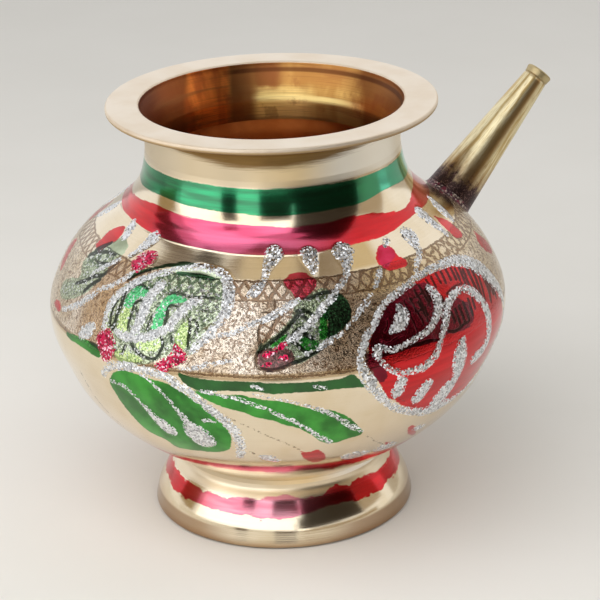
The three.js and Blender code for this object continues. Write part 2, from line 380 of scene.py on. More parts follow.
def turned(name, parts, sides, materials, lean=None, front=None):
    """One closed turned piece. parts are (points, material number) going round its outline once, with
    the solid on the left. front gives vertices a shift along their normals and named numbers."""
    rows, strip = [], []
    for points, material in parts:
        for point in points:
            if rows and np.hypot(*(np.asarray(point) - rows[-1])) < 1e-6:
                continue
            rows.append(np.asarray(point, float))
            strip.append(material)
    if np.hypot(*(rows[0] - rows[-1])) < 1e-6:
        rows.pop()
        strip[0] = strip.pop()
    line = np.array(rows)
    count = len(line)
    before, after = np.roll(line, 1, axis=0), np.roll(line, -1, axis=0)
    step_in, step_out = line - before, after - line
    turn = np.abs(np.angle((step_out[:, 0] + 1j * step_out[:, 1]) / (step_in[:, 0] + 1j * step_in[:, 1])))
    turns = -180 + 360 * np.arange(sides) / sides
    pole = line[:, 0] < 1e-6
    start = np.where(pole, 1, sides)
    first = np.r_[0, np.cumsum(start)]
    place_turn = np.concatenate([turns[:1] if p else turns for p in pole])
    row_of = np.repeat(np.arange(count), start)
    flat = line[row_of]
    outward = sum(step / np.linalg.norm(step, axis=1)[:, None] for step in (step_in, step_out))
    outward = np.stack([outward[:, 1], -outward[:, 0]], axis=1)
    outward /= np.linalg.norm(outward, axis=1)[:, None]
    numbers = {}
    if front:
        rise, numbers = front(place_turn, flat, np.array(strip)[row_of])
        flat = flat + rise[:, None] * outward[row_of]
    if lean is None:
        spots = place(place_turn, flat[:, 0], flat[:, 1])
    else:
        spots = lean(place_turn, flat[:, 0], flat[:, 1])
    j = np.arange(sides)
    k = (j + 1) % sides
    faces, marks, wraps, sharp = [], [], [], []
    along = np.r_[0, np.cumsum(np.linalg.norm(np.diff(line, axis=0), axis=1))]
    along = np.r_[along, along[-1] + np.linalg.norm(line[0] - line[-1])]
    for i in range(count):
        n = (i + 1) % count
        if pole[i] and pole[n]:
            continue
        low, high = along[i], along[i + 1]
        if pole[i]:
            faces.append(np.stack([np.full(sides, first[i]), first[n] + k, first[n] + j], axis=1))
            wraps.append(np.stack([(j + 0.5) / sides, 0 * j + low, (j + 1) / sides, 0 * j + high,
                                   j / sides, 0 * j + high], axis=1))
        elif pole[n]:
            faces.append(np.stack([first[i] + j, first[i] + k, np.full(sides, first[n])], axis=1))
            wraps.append(np.stack([j / sides, 0 * j + low, (j + 1) / sides, 0 * j + low,
                                   (j + 0.5) / sides, 0 * j + high], axis=1))
        else:
            faces.append(np.stack([first[i] + j, first[i] + k, first[n] + k, first[n] + j], axis=1))
            wraps.append(np.stack([j / sides, 0 * j + low, (j + 1) / sides, 0 * j + low,
                                   (j + 1) / sides, 0 * j + high, j / sides, 0 * j + high], axis=1))
        marks.append(np.full(sides, strip[n]))
        if turn[i] > math.radians(28) and not pole[i]:
            sharp.append(np.stack([first[i] + j, first[i] + k], axis=1))
    mesh = build_mesh(name, spots, faces, marks, wraps, along[-1])
    if sharp:
        mark_sharp(mesh, np.concatenate(sharp))
    for key, values in numbers.items():
        mesh.attributes.new(key, "FLOAT", "POINT").data.foreach_set("value", values.astype(np.float32))
    return dress(name, mesh, materials)


def build_mesh(name, spots, faces, marks, wraps, length):
    mesh = bpy.data.meshes.new(name)
    sizes = np.concatenate([np.full(len(f), f.shape[1]) for f in faces])
    corners = np.concatenate([f.ravel() for f in faces])
    mesh.vertices.add(len(spots))
    mesh.vertices.foreach_set("co", (np.asarray(spots) * MM).astype(np.float32).ravel())
    mesh.loops.add(len(corners))
    mesh.loops.foreach_set("vertex_index", corners.astype(np.int32))
    mesh.polygons.add(len(sizes))
    mesh.polygons.foreach_set("loop_start", np.r_[0, np.cumsum(sizes)[:-1]].astype(np.int32))
    mesh.polygons.foreach_set("material_index", np.concatenate(marks).astype(np.int32))
    wrap = np.concatenate([w.reshape(-1, 2) for w in wraps])
    layer = mesh.uv_layers.new(name="wrap")
    layer.data.foreach_set("uv", (wrap / (1, length)).astype(np.float32).ravel())
    mesh.update(calc_edges=True)
    mesh.validate()
    mesh.shade_smooth()
    return mesh


def mark_sharp(mesh, pairs):
    """Keeps the creases at these vertex pairs."""
    edges = np.empty(len(mesh.edges) * 2, np.int32)
    mesh.edges.foreach_get("vertices", edges)
    edges = np.sort(edges.reshape(-1, 2), axis=1).astype(np.int64)
    pairs = np.sort(pairs, axis=1).astype(np.int64)
    big = len(mesh.vertices)
    flags = np.isin(edges[:, 0] * big + edges[:, 1], pairs[:, 0] * big + pairs[:, 1])
    layer = mesh.attributes.get("sharp_edge") or mesh.attributes.new("sharp_edge", "BOOLEAN", "EDGE")
    layer.data.foreach_set("value", flags)


def dress(name, mesh, materials):
    piece = bpy.data.objects.new(name, mesh)
    bpy.context.scene.collection.objects.link(piece)
    for material in materials:
        mesh.materials.append(material)
    return piece


def stand_for(piece, node):
    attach(piece, "root")
    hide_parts(node)


# Edges of the lacquer bands: (across, down) where the photo shows them, else (degrees, height).
GREEN_LOW_SEEN = [
    (142.4, 183.9), (160.8, 195.1), (181.2, 203.3), (211.8, 210.4), (273.1, 215.9), (334.3, 209.4),
    (364.9, 201.2), (385.3, 189), (403.7, 178.8),
]
RED_TOP_SEEN = [
    (132.2, 191), (150.6, 202.2), (171, 211.4), (201.6, 219.6), (242.4, 224.7), (283.3, 226.7),
    (358.8, 214.5), (385.3, 212.4), (405.7, 207.3), (411.8, 191),
]
RED_LOW_SEEN = [
    (128.2, 215.5), (146.5, 229.8), (171, 241), (201.6, 248.2), (232.2, 253.3), (273.1, 255.3),
    (324.1, 251.2), (354.7, 244.1), (385.3, 234.9), (409.8, 217.6), (426.1, 203.3),
]
GREEN_TOP = [(-90, 89.7), (-60, 90), (-40, 90.2), (0, 90.2), (30, 90), (70, 89.6), (120, 90), (180, 90.1)]
GREEN_LOW = [*on_pot(GREEN_LOW_SEEN), (110, 84.9), (150, 84.4), (-150, 84.7), (-110, 84.9)]
RED_TOP = [*on_pot(RED_TOP_SEEN), (22, 82), (110, 82.4), (150, 82), (-150, 82.6), (-115, 81.6)]
RED_LOW = [*on_pot(RED_LOW_SEEN), (110, 77.4), (150, 77.2), (-150, 77.7), (-110, 77.9)]

# Motifs as points of the 600 pixel photo: (across, down), for lines also half their width.
FOOT_TOP_EDGE = [(176, 467.5), (183, 476), (193, 484.5), (205, 491), (218, 496), (227, 497.5), (240, 497),
    (257, 497), (275, 496), (289, 496), (305, 497), (317.5, 496.5), (325, 492), (337, 485), (351, 484),
    (360, 478), (375, 471), (383, 466), (387, 458)]
FOOT_LOW_EDGE = [(168, 476), (173, 487), (179.5, 494), (191, 500.5), (205, 505), (218, 511), (236, 514),
    (252, 517), (264, 519), (289, 518), (302, 515), (318, 509.5), (334, 506), (347, 502), (359, 501),
    (366, 497), (375, 492), (383, 489), (387, 483), (395, 473)]

SILVER = {
    "leaf_vein_low": [(112, 381, 1.2), (120, 384, 1.2), (130, 391, 1.3), (140, 401, 1.4), (150, 412, 2),
        (158, 420, 3.2), (165, 426, 4.2), (170, 430, 4)],
    "leaf_vein_high": [(140, 374, 1.3), (150, 381, 1.3), (160, 391, 1.3), (170, 401, 1.5), (178, 411, 1.9),
        (185, 419, 2.8), (191, 427, 5), (198, 434, 8), (204, 440, 7)],
    "leaf_outline": [(104, 374, 3.4), (109, 367, 4), (120, 366, 4.2), (135, 368, 4.2), (150, 372, 4.2),
        (165, 377, 4.2), (178, 385, 4.2), (190, 393, 4), (200, 401, 3.8), (210, 409, 3.8), (220, 417, 4),
        (229, 425, 4.4), (237, 435, 4.8), (241, 446, 4.8), (240, 456, 4.6)],
    "leaf_smear": [(203, 421, 1.3), (209, 420, 1.5), (214, 422, 1.2)],
    "leaf2_top": [(251, 394, 0.9), (264, 397, 0.9), (282, 400, 1), (300, 404, 1.2), (318, 409, 2),
        (328, 413, 2.2), (340, 419, 2.2), (350, 425, 2.3), (361, 431, 1.8)],
    "leaf2_mid": [(200, 391, 1.6), (214, 393, 1.7), (228, 397, 1.7), (240, 400, 1.6), (252, 404, 1.8),
        (263, 408, 1.7), (273, 412, 1.7), (283, 417, 1.7), (292, 420, 1.7), (302, 426, 1.9),
        (313, 432, 1.9), (322, 438, 2), (330, 442, 1.8)],
    "smear_a": [(252, 386, 1.5), (257, 387, 1.8), (262, 389, 1.2)],
    "smear_b": [(314, 386, 1.5), (320, 387, 2.2), (326, 388, 1.5)],
    "smear_c": [(264, 457, 2.2), (270, 458, 3), (276, 460, 2)],
    "smear_d": [(346, 456, 2.5), (355, 455, 4.5), (363, 454, 3)],
    "smear_e": [(378, 449, 2.8), (384, 447, 4.5), (390, 446, 3)],
    "smear_f": [(415, 428, 1.5), (421, 427, 2.5)],
    "left_a": [(93, 273, 1.3), (101, 268, 1.7), (110, 264, 1.6), (120, 259, 1.3)],
    "left_b": [(99, 289, 1.8), (107, 287, 2), (115, 284, 2), (124, 279, 2.2), (133, 273, 2)],
    "left_c": [(63, 309, 1.5), (75, 306, 2.2), (85, 300, 2.6), (95, 294, 2.2)],
    "left_dot": [(81, 334, 4.5), (87, 331, 6.2), (92, 328, 4.5)],
    "left_drop": [(153, 238, 5.2), (148, 243, 4.4), (140, 249, 3), (131, 255, 2.2)],
    "left_drop2": [(133, 223, 2.6), (130, 229, 3.6), (125, 237, 2.6)],
    "paisley_left": [(172, 271, 2.4), (157, 274, 2.8), (143, 279, 3), (132, 284, 3), (122, 291, 3.2),
        (114, 299, 3.2), (109, 308, 3), (106, 318, 3), (104, 327, 2.6)],
    "paisley_right": [(172, 270, 2.2), (186, 268, 3), (200, 267, 3.6), (213, 270, 3.8), (223, 275, 5.2),
        (228, 283, 5.8), (229, 292, 6.2), (228, 303, 6), (224, 314, 5.8), (217, 325, 4.8), (209, 335, 4.6),
        (200, 343, 4.6), (192, 351, 4)],
    "paisley_a": [(161, 285, 4.4), (153, 293, 4.6), (147, 303, 4.8), (143, 313, 4.8), (139, 323, 4.6),
        (134, 331, 4)],
    "paisley_foot": [(116, 331, 3), (124, 336, 4.4), (137, 338, 4.8), (150, 336, 4.8), (162, 331, 4.6),
        (172, 326, 4.2)],
    "paisley_b": [(200, 300, 3.6), (190, 304, 4.4), (181, 312, 4.6), (174, 320, 4.6), (168, 328, 4.2)],
    "drop_1": [(274, 254, 9.2), (270, 263, 6.2), (266, 273, 3.4), (264, 280, 3), (259, 287, 4.6),
        (252, 294, 4.4)],
    "drop_2": [(309, 255, 9.2), (312, 264, 6), (315, 273, 3)],
    "drop_3": [(343.5, 252, 10.6), (347, 264, 5.6), (347, 273, 3.4), (343, 281, 3.4), (337, 289, 3.4),
        (331, 299, 3.8), (324, 306, 4), (318, 314, 4), (311, 322, 3.4), (304, 330, 3.2), (296, 337, 3.8),
        (289, 340, 2.4)],
    "mid_a": [(371, 295, 2.6), (366, 303, 2.8), (360, 311, 3), (354, 319, 2.6)],
    "mid_b": [(349, 323, 1.5), (347, 328, 1.8)],
    "mid_c": [(342, 333, 2.2), (334, 338, 2.8), (325, 344, 3), (318, 349, 2.2)],
    "mid_d": [(311, 352, 2), (306, 354, 2)],
    "mid_e": [(298, 300, 2.8), (290, 305, 3.8), (281, 311, 3.4), (270, 317, 3.4), (258, 322, 3.2),
        (247, 326, 3.2), (240, 330, 2.6)],
    "paisley_tail": [(178, 368, 1.4), (190, 369, 1.8), (202, 366, 2.6), (213, 364, 2.4), (222, 362, 2.2),
        (232, 361, 1.6)],
    "mid_f": [(239, 331, 2.4), (231, 334, 2.4), (223, 335, 2.2), (214, 336, 2)],
    "root_line": [(431, 199, 2.2), (437, 205, 3.4), (444, 212, 3.4), (451, 219, 2)],
    "red_outline_low": [(361, 365, 4.8), (365, 375, 6.4), (371, 384, 6.6), (378, 393, 5.4), (386, 402, 4.2),
        (396, 408, 3.6), (410, 411, 3.2), (425, 411, 3), (436, 407, 3.4)],
    "red_outline_up": [(360, 366, 3.8), (361, 356, 3.8), (363, 346, 4), (367, 336, 4), (373, 326, 3.6),
        (378, 316, 3.6), (382, 307, 3.6), (389, 299, 3.6), (398, 292, 3.8), (407, 285, 3.8),
        (416, 278, 3.8), (426, 272, 4), (436, 267, 4.2), (448, 262, 4.6), (460, 261, 4.8), (472, 264, 4.6),
        (483, 271, 4.4), (492, 280, 4), (499, 290, 3.6)],
    "red_tear": [(399, 307, 3.4), (402, 314, 6.4), (401, 321, 8), (395, 328, 4.6), (391, 332, 2)],
    "red_swirl_a": [(429, 288, 3), (434, 293, 4.4), (438, 302, 4.6), (438, 312, 4.4), (434, 321, 3.6),
        (428, 330, 3), (418, 337, 2.8), (408, 343, 3), (398, 348, 3.2), (386, 349, 3.2), (378, 348, 4),
        (376, 353, 4.2), (379, 357, 3.6)],
    "red_swirl_b": [(382, 362, 2.6), (388, 368, 3), (400, 372, 3.2), (412, 371, 3.2), (422, 368, 3.4),
        (430, 362, 3.4), (436, 355, 3.2), (439, 347, 3), (441, 338, 3), (444, 328, 3.2), (446, 318, 4),
        (447, 308, 4), (450, 299, 4), (456, 292, 4), (463, 289, 3.8), (471, 291, 3.6), (478, 297, 3.2),
        (484, 305, 3.2), (488, 315, 3), (489, 328, 3), (487, 340, 3.2), (482, 350, 3.4), (474, 358, 3)],
    "red_long_drop": [(463, 341, 3), (461, 349, 5.2), (460, 357, 6), (459, 366, 4.6), (456, 376, 3.4),
        (449, 386, 4.6), (441, 396, 5.4), (435, 404, 4.4)],
    "red_dot_a": [(397, 392, 5.4), (402, 381, 5.2)],
    "red_dot_b": [(418, 397, 4.4), (426, 386, 4.4)],
    "right_drop": [(409, 235, 6.4), (414, 243, 4.2), (419, 251, 2.8), (417, 262, 2.6), (416, 271, 2.4)],
    "right_drop2": [(386, 241, 4.4), (385, 246, 2)],
    "right_tail": [(380, 270, 2.4), (378, 279, 3), (375, 287, 2.2)],
    "right_line": [(421, 213, 4), (428, 219, 3.4), (437, 226, 2.8), (445, 233, 2.2)],
}

GREEN = {
    "patch_a": [(123, 306), (126, 298), (130, 292), (136, 287), (144, 286), (149, 290), (147, 296),
        (140, 297), (135, 301), (132, 307)],
    "patch_b": [(151, 329), (153, 320), (156, 311), (160, 304), (166, 297), (173, 294), (182, 296),
        (188, 301), (181, 303), (173, 304), (168, 309), (165, 316), (163, 323), (161, 329)],
}

GRASS = {
    "spot": [(299, 339), (304, 336), (309, 338), (314, 340), (319, 341), (319, 347), (313, 350), (307, 351),
        (301, 347)],
    "scales": [(321, 311), (326, 309), (328, 315), (327, 322), (328, 329), (328, 336), (324, 340),
        (320, 338), (319, 330), (320, 321)],
    "frame": [(263, 351), (270, 346), (280, 338), (288, 333), (286, 338), (279, 344), (271, 348)],
    "leaf": [(112, 374), (121, 370), (130, 372), (142, 376), (155, 380), (168, 384), (180, 391), (192, 398),
        (201, 405), (209, 412), (216, 418), (222, 423), (227, 429), (231, 437), (231, 445), (228, 450),
        (215, 452), (200, 451), (185, 449), (175, 446), (168, 441), (160, 437), (150, 432), (140, 424),
        (130, 413), (122, 403), (115, 392), (110, 383)],
    "leaf2": [(192, 390), (210, 392), (226, 395), (240, 395), (253, 398), (268, 400), (285, 402),
        (300, 406), (315, 409), (330, 410), (342, 414), (352, 420), (360, 428), (363, 432), (360, 435),
        (350, 438), (338, 442), (328, 443), (320, 441), (313, 436), (305, 431), (298, 428), (285, 425),
        (270, 420), (255, 417), (245, 413), (230, 409), (215, 404), (203, 398)],
    "left_strip": [(66, 331), (75, 335), (84, 339), (93, 343), (99, 348), (101, 356), (99, 358), (92, 354),
        (83, 348), (74, 342), (67, 336)],
}

TINT = {
    "left_leaf": [(90, 256), (98, 251), (108, 247), (116, 243), (122, 241), (124, 246), (123, 250),
        (118, 256), (112, 260), (106, 266), (103, 272), (100, 276), (95, 281), (88, 287), (82, 291),
        (74, 294), (66, 295), (62, 290), (63, 286), (72, 282), (80, 280), (84, 272), (85, 263)],
    "band_leaf": [(262, 351), (270, 344), (279, 338), (286, 331), (292, 325), (297, 317), (299, 307),
        (303, 299), (314, 297), (325, 293), (324, 305), (320, 318), (321, 330), (320, 341), (314, 350),
        (306, 355), (297, 359), (291, 353), (282, 346), (272, 347)],
    "paisley": [(108, 325), (110, 312), (116, 300), (124, 291), (134, 284), (148, 279), (165, 274),
        (185, 273), (203, 273), (218, 278), (226, 288), (226, 300), (221, 314), (210, 322), (200, 332),
        (193, 347), (180, 352), (165, 352), (150, 358), (140, 360), (122, 358), (114, 345), (112, 335)],
}

LIME = {
    "lime_strip": [(123, 307), (133, 306), (131, 313), (128, 320), (127, 330), (117, 330), (118, 319)],
    "lime_c": [(174, 339), (177, 331), (182, 324), (188, 320), (190, 330), (188, 341), (184, 349),
        (178, 346)],
    "lime_d": [(135, 344), (142, 341), (150, 341), (158, 339), (161, 345), (157, 350), (149, 351),
        (141, 350)],
    "lime_e": [(114, 352), (124, 350), (133, 354), (143, 359), (140, 362), (127, 362), (116, 358)],
}

DEEP = {
    "strip": [(176, 371), (190, 376), (205, 379), (225, 381), (250, 382), (280, 383), (310, 382),
        (330, 380), (345, 377), (353, 374), (360, 380), (367, 386), (350, 388), (330, 390), (310, 392),
        (290, 393), (270, 394), (255, 392), (235, 391), (215, 391), (200, 391), (190, 387), (181, 380)],
    "dark_leaf": [(327, 299), (334, 292), (341, 294), (346, 299), (351, 307), (351, 317), (347, 325),
        (341, 331), (334, 337), (328, 340), (327, 333), (328, 326), (327, 319), (322, 318), (326, 312),
        (328, 306)],
    "arc_a": [(127, 277), (138, 271), (150, 268), (165, 264), (180, 262), (196, 263), (208, 265),
        (196, 267), (180, 267), (165, 268), (150, 271), (138, 275), (128, 280)],
    "arc_b": [(176, 271), (195, 273), (213, 277), (216, 280), (205, 280), (190, 277), (178, 275)],
    "red_foot": [(375, 369), (383, 370), (386, 376), (382, 382), (377, 379)],
}

RED = {
    "big": [(373, 331), (380, 317), (386, 306), (395, 297), (405, 289), (415, 282), (425, 276), (435, 271),
        (447, 267), (458, 266), (470, 268), (480, 274), (490, 282), (498, 292), (502, 304)],
    "big_low": [(430, 410), (410, 409), (397, 402), (386, 395), (381, 386), (375, 376), (369, 366),
        (368, 352), (370, 340)],
    "splash_a": [(376, 252), (380, 246), (387, 245), (394, 249), (397, 255), (405, 259), (407, 265),
        (400, 269), (390, 271), (383, 268), (377, 262)],
    "splash_b": [(434, 216), (442, 218), (450, 222), (457, 228), (462, 233), (458, 238), (452, 235),
        (446, 229), (440, 223)],
    "splash_c": [(474, 231), (481, 236), (488, 243), (492, 250), (486, 251), (479, 243)],
    "splash_low": [(301, 451), (308, 452), (318, 450), (324, 454), (325, 459), (318, 462), (311, 462),
        (304, 458)],
    "ellipse": [(97, 248), (96, 243), (102, 238), (108, 232), (115, 228), (122, 226), (125, 227),
        (123, 233), (118, 239), (112, 243), (105, 247), (100, 252)],
    "low_right": [(385, 442), (391, 443), (391, 446), (386, 446)],
    "low_right2": [(408, 427), (413, 425), (416, 430), (414, 435), (409, 434)],
    "left_edge": [(54, 303), (57, 300), (61, 306), (60, 311), (56, 309)],
}

# Dark maroon lacquer, with painted shade over the red paisley's upper left (the shade patch).
WINE_AND_SHADE = {
    "shade": [(370, 345), (373, 331), (380, 317), (386, 306), (395, 297), (405, 289), (416, 284),
        (428, 284), (436, 292), (444, 300), (452, 298), (462, 300), (470, 306), (474, 316), (470, 326),
        (460, 332), (448, 334), (436, 341), (420, 346), (402, 351), (384, 357), (374, 358)],
    "wedge": [(364, 352), (372, 354), (380, 362), (385, 369), (387, 376), (383, 382), (376, 380),
        (370, 372), (366, 364)],
    "leaf_foot": [(258, 352), (263, 349), (270, 348), (277, 350), (284, 348), (290, 350), (295, 356),
        (293, 362), (286, 367), (276, 371), (266, 371), (259, 366)],
}

ROSE = {
    "splash_mid": [(283, 281), (290, 275), (300, 272), (309, 275), (316, 280), (317, 285), (313, 290),
        (308, 296), (302, 300), (296, 298), (291, 291), (285, 286)],
    "splash_up": [(377, 250), (381, 246), (388, 246), (394, 250), (395, 257), (391, 262), (387, 268),
        (382, 266), (378, 258)],
}

MAGENTA = {
    "drop": [(133, 270), (131, 264), (135, 258), (142, 253), (150, 250), (156, 251), (158, 255), (155, 261),
        (149, 266), (142, 270), (136, 273)],
    "blob_a": [(96, 338), (100, 331), (107, 328), (112, 332), (115, 340), (116, 348), (113, 356),
        (108, 361), (102, 359), (100, 352), (97, 345)],
    "blob_b": [(153, 366), (160, 361), (167, 357), (172, 350), (176, 343), (180, 347), (185, 353),
        (187, 360), (182, 364), (175, 367), (168, 371), (163, 375), (157, 371)],
    "petal_a": [(262, 356), (266, 352), (272, 350), (278, 346), (284, 342), (288, 344), (285, 348),
        (279, 351), (273, 355), (267, 358)],
    "petal_b": [(277, 361), (280, 357), (284, 355), (288, 357), (287, 360), (282, 362)],
    "petal_c": [(261, 367), (264, 363), (268, 362), (272, 364), (268, 367)],
}

CHASE = {
    "panel": [(259, 347), (259, 337), (259, 329), (264, 322), (271, 316), (280, 312), (290, 312),
        (296, 314), (291, 322), (284, 330), (276, 337), (268, 343)],
}

INK = {
    "paisley": [
        [(113, 329, 1.2), (115, 321, 1.3), (118, 312, 1.3), (122, 303, 1.5), (124, 295, 1.8),
         (128, 289, 1.3), (134, 285, 1.3), (140, 284, 1.5), (148, 289, 1)],
        [(128, 328, 1), (129, 321, 1), (132, 313, 1), (134, 305, 1.1), (138, 301, 1.1), (144, 301, 0.8)],
        [(136, 308, 0.9), (137, 315, 1), (137, 321, 1)],
        [(110, 326, 0.8), (111, 317, 0.8), (113, 308, 0.9), (118, 300, 0.9)],
        [(165, 323, 1.4), (167, 316, 1.3), (168, 309, 1.2), (171, 305, 1), (176, 306, 1), (179, 310, 1)],
        [(147, 329, 0.8), (150, 321, 1), (152, 314, 0.7)],
        [(170, 294, 0.9), (177, 292, 1), (185, 295, 1.1), (194, 297, 1.2), (204, 297, 1.1), (214, 298, 1)],
        [(189, 319, 0.8), (190, 329, 1.2), (188, 339, 1.1), (188, 347, 0.8)],
        [(131, 343, 1.1), (134, 349, 1.4), (140, 354, 1.4), (147, 358, 1.4), (156, 358, 1.2), (160, 352, 1),
         (163, 344, 1.3), (161, 337, 0.9)],
        [(128, 280, 1), (137, 275, 1.2), (144, 272, 1), (151, 270, 0.8)],
        [(122, 354, 1.1), (124, 348, 1.2), (126, 344, 0.8)],
        [(200, 310, 0.8), (207, 311, 0.9), (214, 312, 0.8)],
        [(171, 336, 1), (172, 343, 1)],
        [(193, 319, 0.8), (198, 325, 0.9), (196, 333, 0.8)],
    ],
    "middle_leaf": [
        [(257, 353, 1.3), (264, 348, 1.7), (272, 342, 1.7), (280, 336, 1.6), (287, 329, 1.6),
         (293, 322, 1.7), (297, 316, 1.7), (301, 312, 1.6), (307, 311, 1.3)],
        [(296, 311, 1.2), (304, 310, 1.6), (310, 313, 1.8), (315, 317, 1.6)],
        [(290, 340, 1.6), (293, 335, 1.7), (297, 330, 1.7), (302, 327, 1.6), (308, 329, 1.3)],
        [(300, 315, 1.3), (305, 317, 1.7), (309, 322, 1.6), (311, 327, 1.2)],
        [(292, 342, 2), (298, 345, 2.2), (303, 350, 2), (308, 351, 1.3)],
        [(258, 368, 1.2), (270, 370, 1.8), (283, 368, 1.8), (293, 363, 1.8), (302, 360, 1.7),
         (311, 355, 1.6), (320, 350, 1.3), (328, 344, 1)],
        [(305, 334, 2.3), (310, 337, 2.6), (315, 339, 1.8)],
        [(303, 299, 0.9), (312, 297, 1.4), (322, 293, 1.6), (330, 292, 1.5), (335, 290, 1)],
        [(257, 353, 1.2), (256, 360, 1.3), (258, 368, 1.2)],
        [(275, 300, 1), (275, 312, 1)],
        [(262, 312, 0.7), (275, 312, 0.7)],
        [(258, 328, 0.9), (260, 340, 1), (260, 349, 1)],
    ],
    "red_leaf": [
        [(381, 355, 1.8), (392, 353, 1.8), (402, 350, 1.6), (411, 346, 1.6), (420, 344, 2.2), (430, 341, 2),
         (438, 340, 1.4)],
        [(448, 331, 1.6), (456, 331, 1.6), (462, 326, 1.2), (469, 321, 1)],
        [(410, 298, 0.9), (415, 308, 0.9), (421, 318, 0.9), (425, 326, 0.7)],
        [(414, 290, 0.9), (420, 300, 1), (426, 311, 1), (430, 318, 0.7)],
        [(419, 286, 0.9), (425, 296, 1), (431, 307, 0.9)],
        [(404, 301, 0.9), (409, 312, 0.9), (415, 325, 0.9), (418, 334, 0.7)],
        [(409, 299, 0.8), (416, 297, 0.8), (424, 291, 0.8), (430, 284, 0.7)],
        [(411, 312, 0.8), (419, 311, 0.8), (428, 306, 0.8)],
        [(441, 297, 1.6), (443, 303, 2.2), (445, 310, 1.4)],
        [(447, 294, 1.2), (452, 289, 1.3), (458, 285, 1.2), (466, 284, 1)],
        [(436, 274, 1), (441, 283, 1)],
        [(441, 272, 1), (446, 283, 1)],
        [(446, 270, 1), (451, 280, 1)],
        [(451, 269, 1), (456, 279, 1)],
        [(463, 270, 1), (467, 280, 1), (472, 291, 0.9)],
        [(467, 269, 1.1), (472, 280, 1.1), (478, 293, 0.9)],
        [(472, 270, 1), (477, 282, 1), (482, 298, 0.9)],
        [(477, 273, 0.8), (482, 287, 0.8), (485, 300, 0.7)],
        [(489, 281, 1), (493, 293, 1)],
        [(493, 288, 0.9), (496, 297, 0.9)],
        [(451, 312, 1), (455, 322, 1)],
        [(455, 309, 1), (460, 323, 1)],
        [(459, 306, 1), (465, 322, 1)],
        [(463, 302, 1), (469, 319, 1)],
        [(468, 299, 1), (473, 315, 1)],
        [(472, 298, 0.9), (475, 308, 0.9)],
        [(380, 340, 0.9), (388, 343, 0.9), (396, 338, 0.8), (404, 335, 0.7)],
        [(384, 316, 0.8), (388, 324, 0.8), (384, 332, 0.8)],
        [(455, 269, 0.9), (460, 280, 0.9)],
        [(459, 268, 0.9), (464, 280, 0.9)],
        [(482, 275, 0.9), (488, 289, 0.9), (491, 301, 0.8)],
        [(431, 277, 0.9), (436, 287, 0.9)],
        [(426, 280, 0.9), (432, 290, 0.9)],
        [(418, 302, 0.9), (424, 313, 0.9), (428, 322, 0.8)],
        [(400, 303, 0.9), (404, 315, 0.9), (407, 329, 0.8)],
        [(425, 290, 0.9), (431, 301, 0.9)],
        [(485, 277, 0.9), (490, 291, 0.9)],
    ],
    "green_leaf": [
        [(90, 255, 1.2), (98, 252, 1.3), (107, 252, 1.3), (116, 255, 1)],
        [(95, 259, 1), (101, 263, 1.2), (108, 263, 1)],
        [(76, 283, 1), (86, 280, 1.4), (95, 276, 1.5), (103, 275, 1.5), (109, 270, 1.2), (117, 263, 1)],
        [(84, 291, 1), (92, 284, 1.3), (100, 280, 1.2)],
        [(97, 249, 1.4), (104, 246, 1.5), (111, 243, 1.2)],
    ],
    "strip": [
        [(90, 342, 1), (96, 346, 1.5), (100, 350, 1.2)],
    ],
    "arcs": [
        [(226, 417, 0.5), (240, 423, 0.55), (255, 430, 0.5), (270, 437, 0.5), (285, 443, 0.5),
         (300, 450, 0.4)],
        [(362, 432, 0.5), (372, 439, 0.55), (383, 445, 0.4)],
        [(250, 452, 0.5), (262, 457, 0.5), (275, 460, 0.4)],
        [(303, 402, 0.45), (322, 411, 0.5), (345, 422, 0.45)],
        [(80, 370, 0.5), (92, 392, 0.5), (108, 412, 0.5), (128, 430, 0.4)],
        [(392, 396, 0.45), (410, 404, 0.5), (425, 414, 0.4)],
    ],
}

# Where the red leaf runs on past the photo's edge, as (degrees round the pot, height).
LEAF_BEYOND = [(76.4, 54), (77, 50), (75.4, 45.5), (70.5, 41.5), (63.5, 38.6), (55, 37.3)]
RED_BEYOND = [(75.5, 51), (74, 47), (70, 43), (64, 40), (57, 37.8), (50, 36.8)]
BEYOND_HALF_WIDTH = 0.8


def ring(points, turn):
    """Smooth value round the pot through (degrees, value) points."""
    points = np.array(sorted(map(tuple, points)), float)
    points = np.concatenate([points + (whole, 0) for whole in (-360, 0, 360)])
    line = smooth(points[abs(points[:, 0]) < 260], 0.5)
    line = line[np.argsort(line[:, 0])]
    return np.interp(turn, line[:, 0], line[:, 1])


def band(low, top, turn, height):
    """Signed distance to a band between two edges, along the body's line."""
    reach = body_reach(height)
    return np.maximum(body_reach(ring(low, turn)) - reach, reach - body_reach(ring(top, turn)))


def line_distance(spots, line, half):
    """Distance from each spot to a line of joined points, less its half width there."""
    best = np.full(len(spots), FAR)
    for i in range(len(line) - 1):
        step = line[i + 1] - line[i]
        part = np.clip((spots - line[i]) @ step / max(step @ step, 1e-9), 0, 1)
        away = np.linalg.norm(spots - line[i] - part[:, None] * step, axis=1)
        best = np.minimum(best, away - half[i] - part * (half[i + 1] - half[i]))
    return best


def near(turn, height, points, margin):
    """Which places lie near the points, and their degrees counted the same way as the points are."""
    middle = (points[:, 0].min() + points[:, 0].max()) / 2
    turn = (turn - middle + 180) % 360 - 180 + middle
    wide = margin * 1.6
    inside = (turn > points[:, 0].min() - wide) & (turn < points[:, 0].max() + wide)
    inside &= (height > points[:, 1].min() - margin) & (height < points[:, 1].max() + margin)
    return np.nonzero(inside)[0], turn


def add_stroke(layer, turn, height, spots, points, shift):
    """Lowers the layer's signed distance along a stroke of (degrees, height, half width)."""
    line = smooth(points, 0.6)
    line[:, 0] += shift
    at, _ = near(turn, height, line, NEAR_STROKE)
    path = on_body(line)
    layer[at] = np.minimum(layer[at], line_distance(spots[at], path, line[:, 2]))


